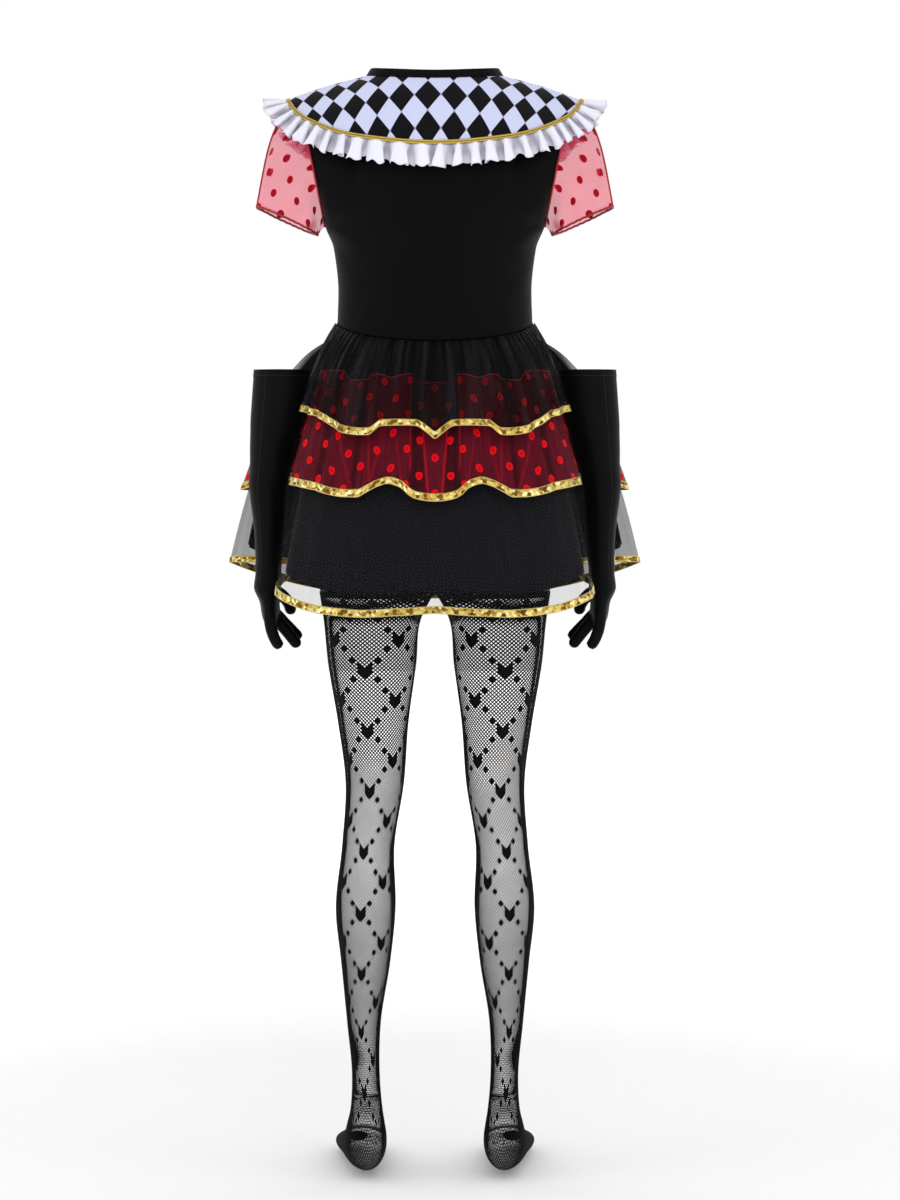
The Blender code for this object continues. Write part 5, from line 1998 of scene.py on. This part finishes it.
    def brief(self):
        psi = np.radians(np.linspace(0, 180, 61))
        heights = np.linspace(BRIEF["z"][-1], BRIEF["z"][0], 60)
        halves = []
        for side in (1.0, -1.0):
            z, s = np.meshgrid(heights, psi, indexing="ij")
            x = 0.0006 + smooth(BRIEF, "z", "half_x", z) * np.sin(s) ** smooth(BRIEF, "z", "power", z)
            y = smooth(BRIEF, "z", "y", z) - smooth(BRIEF, "z", "half_y", z) * np.cos(s)
            halves.append(np.stack([side * x, y, z], -1))
        grid = np.concatenate([halves[0], halves[1][:, ::-1]], axis=1)
        piece = cloth("tights_brief_knit", grid, brief_knit(), closed=True)
        settle(piece, "black_net", "tights_brief_left", "tights_brief_right")
        declare(grid, closed=True)

    def waistband(self):
        half_x, half_y, top, bottom = WAISTBAND
        a = np.arange(240) * math.tau / 240
        rows = []
        for z in np.linspace(top, bottom, 9):
            rib = 0.0003 * np.cos(a * 60) - 0.0003
            rows.append(np.stack([(half_x + rib) * np.sin(a), -(half_y + rib) * np.cos(a), 0 * a + z], -1))
        grid = np.array(rows)
        piece = cloth("tights_waistband_knit", grid, glove_stretch(), closed=True, thickness=0.0009)
        settle(piece, "black_stretch", "tights_waistband")
        declare(grid, closed=True)


class COSTUME_OT_stage(bpy.types.Operator):
    """Makes the pale floor, which glows more away from the figure as painted light, the soft lights and the
    camera.
    """

    bl_idname = "costume.stage"
    bl_label = "Stage"

    def execute(self, context):
        scene = context.scene
        world = bpy.data.worlds.new("white surround")
        world.use_nodes = True
        ground = world.node_tree.nodes["Background"]
        ground.inputs[0].default_value = (1.0, 1.0, 1.0, 1.0)
        ground.inputs[1].default_value = 1.0
        scene.world = world
        scene.view_settings.view_transform = "Standard"
        floor = Finish("pale floor")
        grain = floor.noise(floor.place(), 30.0, 2.0)
        parts = floor.node("ShaderNodeSeparateXYZ", sockets={0: floor.place()})
        x = Wire(floor, parts.outputs[0])
        y = Wire(floor, parts.outputs[1])
        # Painted light: the floor glows, faintly under the figure and more further out, so that it fades
        # into the white surround.
        away = (((x * x + y * y).root() - 0.9) / 2.2).clamp()
        paint = floor.close(
            Base_Color=floor.mix(grain, (0.84, 0.84, 0.84), (0.86, 0.86, 0.86)), Roughness=0.9,
            Specular_IOR_Level=0.0, Emission_Strength=1.0,
            Emission_Color=floor.mix(away, (0.05, 0.05, 0.05), (0.55, 0.55, 0.55)),
        )
        mesh = bpy.data.meshes.new("floor")
        z = -NECK_HEIGHT - 0.0005
        mesh.from_pydata([(-9, -9, z), (9, -9, z), (9, 9, z), (-9, 9, z)], [], [(0, 1, 2, 3)])
        mesh.materials.append(paint)
        link("floor", mesh)
        for name, place, power, size in (
            ("soft light above the back", (0.4, -3.2, 2.2), 22.0, 2.4),
            ("soft light at the left", (-3.4, -1.6, 0.6), 15.0, 2.2),
            ("soft light at the right", (3.4, -1.6, 0.6), 12.0, 2.2),
        ):
            light = bpy.data.lights.new(name, "AREA")
            light.energy = power
            light.size = size
            obj = bpy.data.objects.new(name, light)
            scene.collection.objects.link(obj)
            obj.location = place
            aim = np.array([0.0, 0.0, -0.6]) - np.array(place)
            obj.rotation_euler = self.turned(aim)
        lens = bpy.data.cameras.new("camera")
        lens.sensor_width = 36.0
        lens.lens = 88.9
        lens.clip_end = 40.0
        camera = bpy.data.objects.new("camera", lens)
        scene.collection.objects.link(camera)
        camera.location = EYE - SOLES_TO_NECK
        camera.rotation_euler = (math.radians(90.0 - 3.03), 0.0, math.radians(-0.29))
        scene.camera = camera
        return {"FINISHED"}

    def turned(self, aim):
        """The rotation that points a light's -Z along a direction."""
        flat = math.hypot(aim[0], aim[1])
        return (math.atan2(flat, -aim[2]), 0.0, math.atan2(aim[1], aim[0]) - math.pi / 2)


STEPS = (
    COSTUME_OT_stage,
    COSTUME_OT_bodice,
    COSTUME_OT_collar,
    COSTUME_OT_ruffle,
    COSTUME_OT_sleeves,
    COSTUME_OT_underskirt,
    COSTUME_OT_overskirt,
    COSTUME_OT_tiers,
    COSTUME_OT_gloves,
    COSTUME_OT_tights,
)


class COSTUME_PT_panel(bpy.types.Panel):
    """Lists the costume's sizes, colours and pieces."""

    bl_idname = "COSTUME_PT_panel"
    bl_label = "Queen costume"
    bl_space_type = "VIEW_3D"
    bl_region_type = "UI"
    bl_category = "Costume"

    def draw(self, context):
        column = self.layout.column()
        for group in (context.scene.costume_sizes, context.scene.costume_colours):
            for name in group.bl_rna.properties.keys():
                if name not in ("rna_type", "name"):
                    column.prop(group, name)
        for step in STEPS:
            column.operator(step.bl_idname)


CLASSES = (CostumeSizes, CostumeColours, *STEPS, COSTUME_PT_panel)


def register():
    for item in CLASSES:
        bpy.utils.register_class(item)
    bpy.types.Scene.costume_sizes = PointerProperty(type=CostumeSizes)
    bpy.types.Scene.costume_colours = PointerProperty(type=CostumeColours)


def unregister():
    del bpy.types.Scene.costume_colours
    del bpy.types.Scene.costume_sizes
    for item in reversed(CLASSES):
        bpy.utils.unregister_class(item)


def main():
    register()
    for step in STEPS:
        group, name = step.bl_idname.split(".")
        getattr(getattr(bpy.ops, group), name)()


if __name__ == "__main__":
    main()
